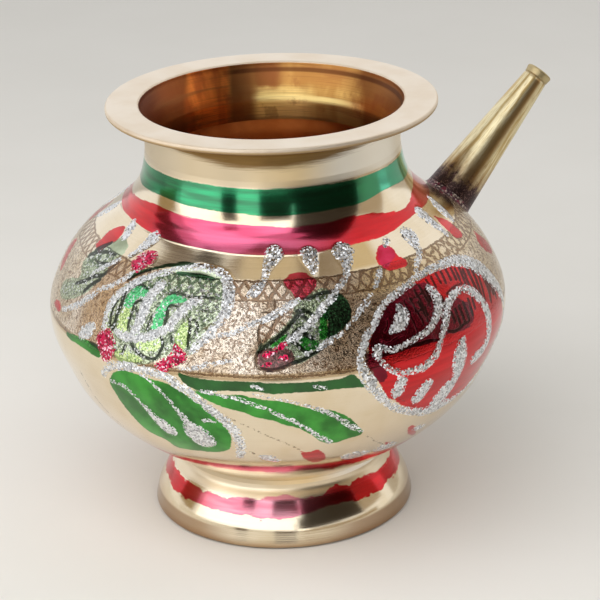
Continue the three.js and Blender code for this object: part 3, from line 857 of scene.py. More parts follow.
def add_patch(layer, turn, height, spots, points, shift):
    """Lowers the layer's signed distance inside and round a patch of (degrees, height) corners."""
    edge = smooth([*points, points[0]], 0.6)
    edge[:, 0] += shift
    at, turns = near(turn, height, edge, NEAR_STROKE)
    away = line_distance(spots[at], on_body(edge), np.zeros(len(edge)))
    x, y = turns[at], height[at]
    inside = np.zeros(len(at), bool)
    for (x1, y1), (x2, y2) in zip(edge[:-1], edge[1:]):
        crosses = (y1 > y) != (y2 > y)
        if crosses.any():
            inside ^= crosses & (x < (x2 - x1) * (y - y1) / (y2 - y1 + 1e-12) + x1)
    layer[at] = np.minimum(layer[at], np.where(inside, -away, away))


BACK_SHIFT = 188
# Middles and half widths in degrees of the painted pink highlight on the red lacquer.
PINK_SHEEN = [(-14, 32), (150, 30), (-130, 20)]
RING_LOW, RING_TOP = 23.3, 26.5
NEAR_STROKE = 4.0
SILVER_RISE, MAGENTA_RISE = 0.13, 0.1
TINT_SPREAD = 1.1

patches = {
    name: {key: on_pot(points) for key, points in motifs.items()}
    for name, motifs in (
        ("green", GREEN), ("grass", GRASS), ("tint", TINT), ("lime", LIME), ("deep", DEEP), ("red", RED),
        ("wine_and_shade", WINE_AND_SHADE), ("rose", ROSE), ("magenta", MAGENTA), ("chase", CHASE),
    )
}
red_leaf = patches["red"]
red_leaf["big"] = np.concatenate([red_leaf["big"], RED_BEYOND, red_leaf.pop("big_low")])
strokes = {
    "silver": {key: line_on_pot(points) for key, points in SILVER.items()},
    "ink": {f"{key}_{i}": line_on_pot(line) for key, lines in INK.items() for i, line in enumerate(lines)},
}
leaf_edge = strokes["silver"]
beyond = [(*point, BEYOND_HALF_WIDTH) for point in LEAF_BEYOND]
low_end = leaf_edge["red_outline_low"][-1:]
leaf_edge["red_outline_up"] = np.concatenate([leaf_edge["red_outline_up"], beyond, low_end])


def thinness(turn):
    """How much of the red lacquer is painted pink, 0 to 1, by degrees round the pot: where it lies thin, with
    a painted highlight.
    """
    thin = np.zeros(len(turn))
    for middle, wide in PINK_SHEEN:
        away = ((turn - middle + 180) % 360 - 180) / wide
        thin = np.maximum(thin, np.exp(-away ** 4))
    return thin


def add_motifs(add, layer, motifs, *places):
    """Adds each motif to the layer in front and, but for those at the photo's left edge, behind."""
    for key, points in motifs.items():
        add(layer, *places, points, 0)
        if not key.startswith("left"):
            add(layer, *places, points, BACK_SHIFT)


def paint(turn, flat, strip):
    """Rise and numbers of the painted pieces: signed distance in mm to each layer, negative inside."""
    names = (*patches, *strokes)
    layers = {name: np.full(len(turn), FAR) for name in names}
    layers["reach"] = np.full(len(turn), -FAR)
    layers["thin"] = thinness(turn)
    rise = np.zeros(len(turn))
    outer = np.nonzero(strip == 0)[0]
    t, r, h = turn[outer], flat[outer, 0], flat[outer, 1]
    if h.min() < SEAT[1] - 1:
        top, low = (ring(on_pot(edge), t) for edge in (FOOT_TOP_EDGE, FOOT_LOW_EDGE))
        layers["red"][outer] = np.maximum(low - h, h - top)
        return rise, layers
    spots = place(t, r, h)
    mine = {name: np.full(len(outer), FAR) for name in names}
    mine["green"] = np.minimum(FAR, band(GREEN_LOW, GREEN_TOP, t, h))
    low_ring = np.maximum(RING_LOW - h, h - RING_TOP) * 1.5
    mine["red"] = np.minimum(FAR, np.minimum(band(RED_LOW, RED_TOP, t, h), low_ring))
    for name, motifs in patches.items():
        add_motifs(add_patch, mine[name], motifs, t, h, spots)
    for name, motifs in strokes.items():
        add_motifs(add_stroke, mine[name], motifs, t, h, spots)
    mine["tint"] -= TINT_SPREAD
    for name in names:
        layers[name][outer] = np.clip(mine[name], -FAR, FAR)
    layers["reach"][outer] = body_reach(h)
    silver, magenta = (soft_step(-mine[name], -0.2, 0.6) for name in ("silver", "magenta"))
    rise[outer] = np.maximum(SILVER_RISE * silver, MAGENTA_RISE * magenta)
    return rise, layers


def soft_step(value, low, high):
    part = np.clip((value - low) / (high - low), 0, 1)
    return part * part * (3 - 2 * part)


BAND_LOW, BAND_LINTEL, BAND_TOP = (body_reach(height) for height in (54.9, 69.9, 73.1))
# The painted reflections and shade on the metal run from left to right of the photo, and are counted toward
# this side.
TONE_RIGHT = 87.0
FLECK = 0.38
SHADE_LOW = 94.2


def lattice(s, across, along, half):
    """Grooves, 0 to 1, where either of two crossing families of lines runs."""
    lines = [s.math("PINGPONG", s.math(operation, across, along), 0.5) for operation in ("ADD", "SUBTRACT")]
    return s.step(s.smaller(*lines), half * 1.35, half * 0.7)


def between_steps(s, value, low, high, soft=0.08):
    return s.step(value, low - soft, low + soft) * s.step(value, high + soft, high - soft)


def across(s, turn):
    """Distance in mm from the pot's axis toward the given side."""
    angle = math.radians(turn - SPOUT_TURN)
    way = (math.cos(angle), math.sin(angle), 0.0)
    return s.vector("DOT_PRODUCT", s.where(), way) - AXIS_X * math.cos(angle)


def facing(s, turn, full, none):
    """1 on the pot's side at the given angle, 0 elsewhere; full and none are tangents of the half angles."""
    toward = across(s, turn)
    aslant = abs(across(s, turn + 90)) / s.larger(toward, 1.0)
    return s.step(aslant, none, full) * s.step(toward, 5.0, 15.0)


def chasing(s, grain):
    """Depth, 0 to 1, of the chased lines and of the engraved ones, and how far a place is in the band."""
    turn = s.value("ShaderNodeSeparateXYZ", {0: s.value("ShaderNodeUVMap", uv_map="wrap")})
    jitter = (s.noise(s.where(), 0.6, 3.0, 0.6) - 0.5) * 1.1
    reach = s["reach"] + jitter
    messy = s.step(across(s, TONE_RIGHT), 14.0, 32.0)
    slip = (s.noise(s.where(), 0.42, 3.0, 0.6) - 0.5) * s.blend(messy, 1.6, 6.0)
    round_mm = turn * (2 * math.pi * 50) + slip
    rise = (reach - BAND_LINTEL) / (BAND_TOP - BAND_LINTEL)
    crosses = lattice(s, round_mm / 3.1, rise, 0.14)
    top = crosses * between_steps(s, reach, BAND_LINTEL, BAND_TOP)
    middle = between_steps(s, reach, BAND_LOW, BAND_LINTEL)
    slant = round_mm + reach * 0.5
    bricks = lattice(s, slant / 4.0, reach / 3.4, 0.13)
    panel = s["chase"] + jitter * 0.3
    inside = s.step(panel, 0.05, -0.05)
    rims = s.step(abs(panel), 0.4, 0.2)
    dots = s.step(s.cells(0.8, "Distance"), 0.42, 0.2)
    worn = s.step(s.noise(s.where(), 1.2, 3.0, 0.7), 0.52, 0.62)
    curls = s.math("PINGPONG", s.noise(s.where(), 0.34, 1.0, 0.5) * 3.6, 0.5)
    curled = s.step(curls, 0.11, 0.04) * s.step(s.noise(s.where(), 0.8, 2.0), 0.44, 0.54)
    painted = s["red"]
    for name in ("deep", "green", "lime", "grass", "wine_and_shade"):
        painted = s.smaller(painted, s[name])
    bare = s.step(painted, -0.2, 0.1)
    ground = s.larger(dots * 0.6, worn * 0.8)
    ground = s.larger(ground, curled) * s.blend(bare, 0.3, 1.0)
    field = s.larger(s.blend(inside, ground, bricks), rims) * middle
    lines = top
    for level in (BAND_LOW, BAND_LINTEL, BAND_TOP):
        lines = s.larger(lines, s.step(abs(reach - level), 0.32, 0.14))
    lines = lines * s.blend(s.step(grain, 0.36, 0.5), 0.45, 1.0)
    lines = s.larger(lines, field) * s.blend(bare, 0.12, 0.9)
    engraved = s.step(s["ink"] + jitter * 0.3, 0.16, -0.04)
    below = s.step(s["reach"], BAND_LOW - 1.5, BAND_LOW - 0.5)
    dotted = s.step(s.noise(s.where(), 1.3, 1.0), 0.48, 0.58) * 0.7
    engraved = engraved * s.blend(below, dotted, 1.0)
    return lines, engraved, between_steps(s, reach, BAND_LOW, BAND_TOP)


def neck_painted_reflection(s):
    """Painted reflections on the bare neck: tan to the left, golden in the middle, pale to the right."""
    right = across(s, TONE_RIGHT)
    tone = s.mix(s.step(right, -8.0, 6.0), colour(209, 192, 162), colour(242, 218, 173))
    tone = s.mix(s.step(right, -17.0, -23.0), tone, colour(214, 200, 175))
    return s.mix(s.step(right, 6.0, 18.0), tone, colour(255, 250, 238))


def brass_outside():
    s = Shader("painted_brass")
    streaks = s.noise(s.stretched(0.12, 0.12, 2.4), 1.0, 2.0)
    fine = s.noise(s.stretched(0.04, 0.04, 4.2), 1.0, 2.0)
    wide = s.noise(s.stretched(0.03, 0.03, 1.1), 1.0, 1.0)
    stain = s.noise(s.where(), 0.09, 3.0)
    shade = s.noise(s.stretched(0.07, 0.07, 0.7), 1.0, 2.0)
    blotch = s.noise(s.where(), 0.16, 3.0)
    grain = s.noise(s.where(), 1.9, 2.0, 0.75)
    ragged = s.noise(s.stretched(0.8, 0.8, 0.9), 1.0, 3.0, 0.65)
    lines, engraved, in_band = chasing(s, grain)
    groove = s.larger(lines, engraved)
    speckle = s.step(grain, 0.42, 0.58)
    base = s.mix(s.step(stain, 0.35, 0.75), colour(238, 224, 199), colour(228, 210, 178))
    base = s.mix(fine * 0.16, base, colour(196, 166, 118))
    ground = s.mix(s.step(blotch, 0.4, 0.62), colour(247, 234, 219), colour(222, 203, 179))
    ground = s.mix(s.step(grain, 0.5, 0.36) * 0.6, ground, colour(132, 108, 86))
    # Painted shade: the band's ground darker on the side toward 27 degrees, to the right.
    painted_shade_right = facing(s, 27.0, 0.24, 0.42) * 0.65
    ground = s.mix(painted_shade_right, ground, s.mix(1.0, ground, colour(168, 144, 108), "MULTIPLY"))
    # A golden tone over the band's top rows, on the right side.
    upper_right_gold = s.step(s["reach"], BAND_LINTEL - 3, BAND_LINTEL) * s.step(across(s, TONE_RIGHT), 16.0, 26.0)
    ground = s.mix(upper_right_gold * 0.55, ground, colour(204, 174, 116))
    # Painted golden-brown reflection on the band's left side, toward -50 degrees.
    ground = s.mix(facing(s, -50.0, 0.1, 0.2) * 0.6, ground, colour(186, 146, 92))
    front = abs(across(s, TONE_RIGHT - 90))
    base = s.mix(in_band * s.blend(s.step(front, 14.0, 30.0), 0.4, 1.0), base, ground)
    edge = s["reach"] - BAND_LOW
    base = s.mix(between_steps(s, edge, -0.9, 0.7, 0.2) * 0.8, base, colour(184, 156, 116))
    tread = s.height()
    # Painted shade: the foot's lowest 2.6 mm darker brown toward the floor.
    base = s.mix(s.step(tread, 2.6, 0.6) * 0.75, base, colour(168, 136, 98))
    # Painted reflection: the foot ring's band browner to the left and right, away from the front.
    flank = s.step(abs(across(s, TONE_RIGHT)), 8.0, 20.0)
    base = s.mix(flank * s.step(tread, 4.4, 3.6) * 0.7, base, colour(150, 116, 84))
    # The bare neck above the green band takes the neck's painted reflections.
    bare_neck = s.step(s["reach"], body_reach(90.0), body_reach(90.8))
    base = s.mix(bare_neck * 0.9, base, neck_painted_reflection(s))
    # Painted golden reflection on the shoulder just above the band, on the side toward 27 degrees.
    painted_golden_glow = facing(s, 27.0, 0.07, 0.16) * between_steps(s, tread, 73.4, 79.5, 0.6)
    base = s.mix(painted_golden_glow * 0.8, base, colour(190, 158, 98))
    high = s.step(s["reach"], BAND_TOP, BAND_TOP + 1)
    under = s.step(s["reach"], BAND_LOW, BAND_LOW - 0.5)
    foot = s.step(s["reach"], -4.0, -5.0)
    brushed = (streaks - 0.5) * s.blend(high, 0.4, 1.0)
    torn = ragged - 0.5
    wavy = (s.noise(s.where(), 0.3, 1.0) - 0.5) * (foot * 0.7)
    brushed = brushed + (wavy + torn * s.blend(high, s.blend(foot, 0.7, 0.4), 0.3))
    # Painted pink highlight in the red lacquer of the bands and the foot, where the lacquer lies thin and
    # light whitens it.
    thin = s["thin"] * s.larger(high, foot)
    mint = s.mix(high, colour(98, 208, 138), colour(10, 158, 104))
    crimson = s.mix(thin, colour(216, 24, 36), s.mix(foot, colour(212, 96, 134), colour(216, 150, 166)))
    maroon = s.mix(thin, colour(188, 16, 28), s.mix(foot, colour(198, 66, 106), colour(206, 112, 134)))
    tint = base
    layers = (
        ("tint", colour(84, 122, 86), colour(198, 222, 190), blotch, 0.72),
        ("lime", colour(126, 158, 84), colour(214, 234, 160), blotch, 0.8),
        ("green", s.mix(high, colour(30, 138, 78), colour(6, 112, 74)), mint, shade, 0.95),
        ("grass", colour(20, 104, 30), colour(62, 164, 60), blotch, 0.97),
        ("deep", s.mix(under, colour(10, 28, 18), colour(12, 74, 32)),
         s.mix(under, colour(42, 92, 54), colour(26, 104, 42)), blotch, 0.96),
        ("red", maroon, crimson, shade, 0.98),
        # Dark maroon lacquer and painted shade on the red paisley.
        ("wine_and_shade", colour(62, 10, 28), colour(120, 26, 52), blotch, 0.85),
        ("rose", colour(166, 0, 34), colour(216, 52, 92), blotch, 0.95),
    )
    for name, dark, light, mottle, strength in layers:
        rough_edge = brushed * (2.2 if name in ("red", "wine_and_shade") else 1.0)
        rough_edge = s.blend(high, rough_edge, brushed)
        cover = s.step(s[name] + rough_edge, 0.12, -0.12) * strength
        tone = s.step(mottle, 0.3, 0.7)
        if name != "red":
            tone = s.blend(in_band * (0.5 if name == "green" else 1.0), tone, speckle)
        tint = s.mix(cover, tint, s.mix(tone, dark, light))
    # Painted highlight: the green band's right end lighter and teal.
    teal = s.step(s["green"], 0.12, -0.12) * (high * 0.7)
    tint = s.mix(teal * s.step(across(s, TONE_RIGHT), 18.5, 23.0), tint, colour(104, 214, 176))
    leafy = s.step(s["tint"], -0.8, -1.2)
    cut = s.mix(leafy, colour(150, 122, 98), colour(70, 104, 72))
    inked = s.mix(s.step(s["tint"], 0.6, 0.2), colour(104, 82, 60), colour(26, 42, 28))
    cut = s.mix(s.step(s["ink"], 0.3, 0.1), cut, inked)
    tint = s.mix(groove * 0.94, tint, s.mix(1.0, tint, cut, "MULTIPLY"))
    fleck = s.cells(FLECK, "Color")
    chance, shine, flash = (s.value("ShaderNodeSeparateColor", {0: fleck}, i) for i in range(3))
    scatter = chance ** 3.0 * 1.2 - 0.12
    drift = (s.noise(s.where(), 0.45, 1.0) - 0.5) * 0.7
    scatter = scatter + drift
    silver = s.step(s["silver"] + scatter, 0.03, -0.03)
    stray = s.step(chance, 0.84, 0.86) * s.step(s["tint"], -1.0, -1.2)
    stray = stray * (in_band * 0.85)
    silver = s.larger(silver, stray)
    magenta = s.step(s["magenta"] + scatter, 0.03, -0.03)
    # Painted glints: each fleck gets a random brightness, dark to bright, for flakes that catch or miss the
    # light, and the brightest magenta flecks a painted pale pink glint.
    glow = s.step(shine, 0.05, 0.7)
    spark = s.step(flash, 0.84, 0.86)
    tint = s.mix(magenta, tint, s.mix(glow, colour(120, 0, 36), colour(232, 40, 96)))
    tint = s.mix(magenta * spark, tint, colour(255, 206, 222))
    tint = s.mix(silver, tint, s.mix(glow, colour(162, 164, 168), colour(250, 252, 255)))
    glitter = s.larger(silver, magenta)
    satin = s.step(s["reach"], body_reach(88), body_reach(91))
    rough = s.blend(satin, 0.1, 0.2) + fine * 0.1
    rough = s.blend(bare_neck, rough, 0.42)
    rough = s.blend(foot * s.step(tread, 10.2, 11.4), rough, 0.36)
    rough = s.blend(in_band * 0.7, rough, 0.26)
    rough = s.blend(glitter, rough, 0.34)
    lathe = fine * 0.006 + wide * 0.008
    hammered = grain * in_band * 0.16
    relief = lathe + hammered + groove * -0.14
    ridge = s.step(s["red"], 0.5, 0.0) * (high * s.step(across(s, TONE_RIGHT), 14.0, 6.0))
    ridge = ridge * s.step(s["reach"], body_reach(81.0), body_reach(79.8))
    relief = relief + ridge * 0.08
    plain = s.bump(relief)
    tilt = s.vector("SUBTRACT", fleck, (0.5, 0.5, 0.5))
    facet = s.vector("NORMALIZE", s.vector("ADD", plain, s.vector("SCALE", tilt, 0.9)))
    normal = s.value("ShaderNodeMix", {0: glitter, 4: plain, 5: facet}, 1, data_type="VECTOR")
    return s.finish(tint, rough, normal, coat=0.3)


def brass_plain(name, pale, deep, roughness, lines):
    s = Shader(name)
    fine = s.noise(s.stretched(0.05, 0.05, 12.0), 1.0, 2.0)
    stain = s.noise(s.where(), 0.12, 3.0)
    base = s.mix(s.step(stain, 0.3, 0.75), pale, deep)
    rough = roughness + fine * 0.14
    normal = s.bump(fine * lines)
    return s.finish(base, rough, normal)


def brass_rim():
    """Pale brushed brass of the collar, with a painted brown shade under its lip in front."""
    s = Shader("brass_rim")
    fine = s.noise(s.stretched(0.05, 0.05, 12.0), 1.0, 2.0)
    streaks = s.noise(s.stretched(0.1, 0.1, 2.6), 1.0, 3.0, 0.65)
    stain = s.noise(s.where(), 0.12, 3.0)
    base = s.mix(s.step(stain, 0.3, 0.75), colour(232, 219, 201), colour(224, 207, 184))
    height = s.height()
    # Painted shade: all of the collar below the rim's flat top, its rounded lip and underside, turns
    # golden-brown; below 97 to 98.5 mm the wall takes the neck's painted reflections instead.
    lip = s.step(height, 101.75, 101.35)
    base = s.mix(lip * 0.85, base, colour(184, 156, 112))
    wall = s.step(height, 98.5, 97.0)
    base = s.mix(wall, base, neck_painted_reflection(s))
    # Painted shade: a streaky brown band on the neck under the rim's lip, in front, narrowing toward the
    # sides.
    aside = across(s, TONE_RIGHT) / 21.0
    low = SHADE_LOW + aside * aside * 2.2
    low = low + (0.5 - streaks) * 3.0
    part = height - low
    under_rim_shade = s.step(part, -0.3, 1.7) * s.step(across(s, TONE_RIGHT - 90), 5.0, 20.0)
    under_rim_shade = under_rim_shade * s.step(height, RIM_TOP - RIM_EDGE + 0.7, RIM_TOP - RIM_EDGE - 0.4)
    base = s.mix(under_rim_shade * 0.95, base, s.mix(streaks, colour(92, 62, 24), colour(140, 108, 56)))
    rough = s.blend(wall, s.blend(s.step(height, 102.29, 102.15), 0.24, 0.55), 0.38) + fine * 0.14
    return s.finish(base, rough, s.bump(fine * 0.006))


def brass_throat():
    """Tarnished wall of the mouth, with painted light and shade: an orange reflection to the left, a painted
    golden highlight in the middle, painted brown shade at the edges.
    """
    s = Shader("brass_throat")
    fine = s.noise(s.stretched(0.05, 0.05, 5.0), 1.0, 3.0, 0.6)
    wide = s.noise(s.stretched(0.05, 0.05, 0.5), 1.0, 2.0)
    runs = s.noise(s.stretched(0.14, 0.14, 0.02), 1.0, 3.0, 0.6)
    cloud = s.noise(s.where(), 0.16, 4.0, 0.6)
    height = s.height()
    side = across(s, 90.0) + (runs - 0.5) * 3.0
    level = height + (cloud - 0.5) * 3.0
    base = s.mix(s.step(runs, 0.38, 0.62), colour(208, 166, 96), colour(176, 130, 70))
    base = s.mix(s.step(level, 96.0, 98.0) * 0.6, base, colour(176, 122, 66))
    # Painted highlight: a bright golden patch in the lower middle of the wall.
    middle = between_steps(s, side, -5.0, 9.0, 3.0)
    base = s.mix(middle * s.step(level, 97.4, 93.6), base, colour(255, 226, 146))
    # Painted shade: a dark brown patch high in the middle of the wall.
    painted_umber_shade = between_steps(s, side, -5.0, 2.5, 2.0) * s.step(level, 95.6, 97.0)
    base = s.mix(painted_umber_shade * 0.9, base, colour(136, 80, 44))
    # Painted highlight: a thin golden line low on the wall, across the middle and right.
    glint = between_steps(s, height, 92.8, 94.4, 0.3) * between_steps(s, side, -5.0, 22.0, 2.0)
    base = s.mix(glint * 0.8, base, colour(255, 230, 156))
    # Painted shade: a brown upright band just left of the middle.
    base = s.mix(between_steps(s, side, -10.5, -4.5, 1.6) * 0.85, base, colour(140, 84, 46))
    # Painted reflection: streaky orange over the wall's left part.
    orange_reflection = s.mix(s.step(runs, 0.4, 0.6), colour(244, 142, 66), colour(196, 104, 50))
    base = s.mix(s.step(side, -9.4, -11.2), base, orange_reflection)
    # Painted shade: the wall browner toward both edges of the mouth, darkest far to the left.
    base = s.mix(s.step(side, 20.5, 23.0) * 0.85, base, colour(150, 98, 54))
    base = s.mix(s.step(side, -19.5, -21.5) * 0.9, base, colour(136, 76, 42))
    base = s.mix(s.step(side, -25.0, -30.0) * 0.7, base, colour(88, 48, 28))
    base = s.mix(s.step(wide, 0.52, 0.66) * 0.5, base, colour(150, 96, 56))
    base = s.mix(s.step(fine, 0.5, 0.62) * 0.3, base, colour(140, 90, 50))
    base = s.mix(s.step(cloud, 0.54, 0.66) * 0.4, base, colour(140, 84, 50))
    # Painted shadow line: a thin dark band just under the mouth's rim, across the middle and right of the
    # wall, with no groove in the surface.
    groove = between_steps(s, height, 99.9, 100.9, 0.25) * s.step(side, -14.0, -8.0)
    base = s.mix(groove * 0.8, base, colour(92, 52, 30))
    rough = 0.27 + fine * 0.2
    normal = s.bump(fine * 0.012 + wide * 0.05)
    return s.finish(base, rough, normal)


def brass_toned():
    """Spout brass: streaked lengthwise, with heat stain spreading from the braze at its root, and a painted
    brown reflection along each flank.
    """
    s = Shader("brass_toned")
    root, axis, over, side = spout_frame()
    local = s.vector("SUBTRACT", s.where(), tuple(root))
    along, up, out = (s.vector("DOT_PRODUCT", local, tuple(way)) for way in (axis, over, side))
    slope = (TIP_RADIUS - ROOT_RADIUS) / SPOUT_LENGTH
    radius = ROOT_RADIUS + along * slope
    drawn = s.value("ShaderNodeCombineXYZ", {0: up / radius, 1: out / radius, 2: along * 0.02})
    streaks = s.noise(drawn, 4.5, 3.0, 0.6)
    hairs = s.noise(drawn, 16.0, 2.0)
    cloud = s.noise(s.where(), 0.5, 4.0, 0.65)
    grit = s.noise(s.where(), 2.4, 2.0, 0.7)
    base = s.mix(s.step(streaks, 0.34, 0.6), colour(196, 168, 112), colour(232, 220, 182))
    base = s.mix(s.step(hairs, 0.52, 0.68) * 0.35, base, colour(150, 118, 68))
    height = up / radius
    # Painted reflection: a brown streak along each flank of the spout, a little above the middle.
    brown_reflection_streak = between_steps(s, height, 0.06, 0.42, 0.14) * s.step(streaks, 0.3, 0.5)
    base = s.mix(brown_reflection_streak * 0.75, base, colour(176, 128, 62))
    reach = along + (cloud - 0.5) * 9.0
    reach = reach + (streaks - 0.5) * 7.0
    haze = s.step(reach, 15.0, 5.0) * 0.6
    base = s.mix(haze, base, colour(140, 104, 70))
    stain = s.step(reach, 8.0, 3.4)
    dark = s.mix(s.step(grit, 0.5, 0.66), colour(52, 38, 46), colour(124, 98, 96))
    base = s.mix(stain * 0.94, base, dark)
    rough = s.blend(stain, 0.3, 0.38) + hairs * 0.12
    relief = hairs * 0.006 + grit * stain * 0.05
    return s.finish(base, rough, s.bump(relief))


def braze_metal():
    """Dull filler at the spout's root: purple-black with pale beads."""
    s = Shader("braze")
    grit = s.noise(s.where(), 1.6, 3.0, 0.7)
    lumps = s.noise(s.where(), 0.7, 2.0)
    base = s.mix(s.step(grit, 0.5, 0.64), colour(74, 50, 58), colour(206, 190, 176))
    base = s.mix(s.step(lumps, 0.5, 0.62), base, colour(120, 60, 72))
    return s.finish(base, 0.4, s.bump(lumps * 0.2 + grit * 0.12))


outside = brass_outside()
inside = brass_plain("brass_inside", colour(232, 178, 128), colour(204, 146, 98), 0.24, 0.01)
throat = brass_throat()
rim = brass_rim()
toned = brass_toned()
lip_brass = brass_plain("brass_lip", colour(192, 176, 136), colour(150, 124, 84), 0.36, 0.02)
braze = braze_metal()

SIDES, FOOT_SIDES, COLLAR_SIDES, SPOUT_SIDES, LIP_SIDES = 720, 600, 480, 120, 96
FINE = 0.5
BURIED = 0.35


def build_body():
    pan = smooth(between((PAN_RADIUS, PAN_HEIGHT), PAN_FORM, SEAT), 2.5)
    low = body_part(SEAT[1], SEAM_LOW, FINE)
    low_in = shifted(np.concatenate([pan[:-1], body_part(SEAT[1], SEAM_LOW, 3.5)]), -WALL)
    low_in[-1] = BELLY_RADIUS - WALL, SEAM_LOW
    bottom = [(0, PAN_HEIGHT), (PAN_RADIUS / 2, PAN_HEIGHT)]
    floor = [(PAN_RADIUS / 2, PAN_HEIGHT + WALL), (0, PAN_HEIGHT + WALL)]
    lower = turned("lower_bowl_dressed", [
        (bottom, 1), (pan[:-1], 1), (low, 0), (low_in[::-1], 1), (floor, 1),
    ], SIDES, [outside, inside], front=paint)
    stand_for(lower, "lower_bowl")
    seam_in = BELLY_RADIUS - WALL - 0.5
    seam = turned("belly_seam_dressed", [
        ([(BELLY_RADIUS, SEAM_LOW), (BELLY_RADIUS, SEAM_TOP)], 0),
        ([(seam_in, SEAM_TOP), (seam_in, SEAM_LOW)], 1),
    ], SIDES, [outside, braze], front=paint)
    stand_for(seam, "belly_seam")
    high = body_part(SEAM_TOP, NECK_JOINT, FINE)
    high_in = shifted(body_part(SEAM_TOP, NECK_JOINT, 1.8), -WALL)
    high_in[0] = BELLY_RADIUS - WALL, SEAM_TOP
    high_in[-1] = NECK_RADIUS - WALL, NECK_JOINT
    outline = [(high, 0), (high_in[::-1], 1)]
    upper = turned("upper_bowl_dressed", outline, SIDES, [outside, inside], front=paint)
    stand_for(upper, "upper_bowl")
    ring_in = NECK_RADIUS - WALL
    neck = turned("neck_seam_dressed", [
        ([(NECK_RADIUS, NECK_JOINT), (NECK_RADIUS, COLLAR_FOOT)], 0),
        ([(ring_in, COLLAR_FOOT), (ring_in, NECK_JOINT)], 0),
    ], COLLAR_SIDES, [rim])
    stand_for(neck, "neck_seam")


def build_collar():
    under = RIM_TOP - RIM_EDGE
    wall = [(NECK_RADIUS, COLLAR_FOOT), (NECK_RADIUS, 94.0), (NECK_RADIUS, 96.0)]
    fillet = arc(NECK_RADIUS + RIM_FILLET, under - RIM_ROUND - RIM_FILLET, RIM_FILLET, 180, 90, 10)
    low_edge = arc(RIM_RADIUS - RIM_ROUND, under + RIM_ROUND, RIM_ROUND, -90, 0, 5)
    top_edge = arc(RIM_RADIUS - RIM_ROUND, RIM_TOP - RIM_ROUND, RIM_ROUND, 0, 90, 5)
    mouth = arc(MOUTH_RADIUS, RIM_TOP - MOUTH_ROUND, MOUTH_ROUND, 90, 180, 8)
    bell = smooth(between((SLEEVE_IN, BELL_LOW), BELL_FORM, tuple(mouth[-1])), 0.8)[::-1]
    top = even([top_edge[-1], mouth[0]], 1.0)
    sleeve = [(SLEEVE_IN, SLEEVE_END), (SLEEVE_OUT, SLEEVE_END), (SLEEVE_OUT, COLLAR_FOOT)]
    collar = turned("rim_collar_dressed", [
        (wall, 0), (fillet, 0), (low_edge, 0), (top_edge, 0), (top[1:-1], 0), (mouth[:6], 0),
        (mouth[6:], 1), (bell[1:], 1), (sleeve, 1),
    ], COLLAR_SIDES, [rim, throat])
    stand_for(collar, "rim_collar")


def build_foot():
    flare = flare_line(0.5)
    tread = FOOT_RADIUS - FOOT_ROUND - FOOT_TREAD
    hollow = shifted(flare, -FOOT_WALL)
    wall = smooth([
        (FOOT_RADIUS - inset, height) for inset, height in (
            (FOOT_ROUND, 0), (0.12, 0.32), (0, 0.75), (0.1, 1.3), (0.35, 2.3), (0.62, 3.4),
            (FLARE_INSET, FOOT_BAND),
        )
    ], 0.3)
    foot = turned("foot_ring_dressed", [
        (wall, 0), (flare[1:], 0), ([(BRAZE_OUT - FOOT_WALL, FOOT_TOP)], 1), (hollow[1:-1][::-2], 1),
        ([(tread, FOOT_BAND * 0.8), (tread, 0)], 1),
    ], FOOT_SIDES, [outside, inside], front=paint)
    stand_for(foot, "foot_ring")

    def seat_height(radius):
        r1, z1 = lower_points[1]
        return SEAT[1] + (z1 - SEAT[1]) * (radius - SEAT[0]) / (r1 - SEAT[0])

    seam = turned("foot_seam_dressed", [
        ([(BRAZE_IN, FOOT_TOP), (BRAZE_OUT, FOOT_TOP), (BRAZE_OUT, seat_height(BRAZE_OUT) - 0.02),
          (BRAZE_IN, seat_height(BRAZE_IN) - 0.02)], 0)], COLLAR_SIDES, [rim])
    stand_for(seam, "foot_seam")


def spout_radius(along):
    return ROOT_RADIUS + (TIP_RADIUS - ROOT_RADIUS) * along / SPOUT_LENGTH


def bore_radius(along):
    low, tip = ROOT_RADIUS - ROOT_WALL, TIP_RADIUS - TIP_WALL
    return low + (tip - low) * along / SPOUT_LENGTH


def on_spout(turn, radius, along):
    root, axis, over, side = spout_frame()
    angle = np.radians(turn)[..., None]
    outward = over * np.cos(angle) + side * np.sin(angle)
    return root + axis * np.asarray(along)[..., None] + outward * np.asarray(radius)[..., None]


def saddle(turn, radius_of, gap):
    """How far along the spout a wall of the given radius comes out of the body, by degrees round it."""
    along = np.linspace(-9, 9, 361)
    spots = on_spout(np.repeat(turn[:, None], len(along), 1), radius_of(along)[None, :] + 0 * turn[:, None],
                     along[None, :] + 0 * turn[:, None])
    out = np.hypot(spots[..., 0] - AXIS_X, spots[..., 1]) - body_radius(spots[..., 2])
    k = np.argmax(out > gap, axis=1)
    i = np.arange(len(turn))
    part = (gap - out[i, k - 1]) / (out[i, k] - out[i, k - 1])
    return along[k - 1] + part * (along[1] - along[0])


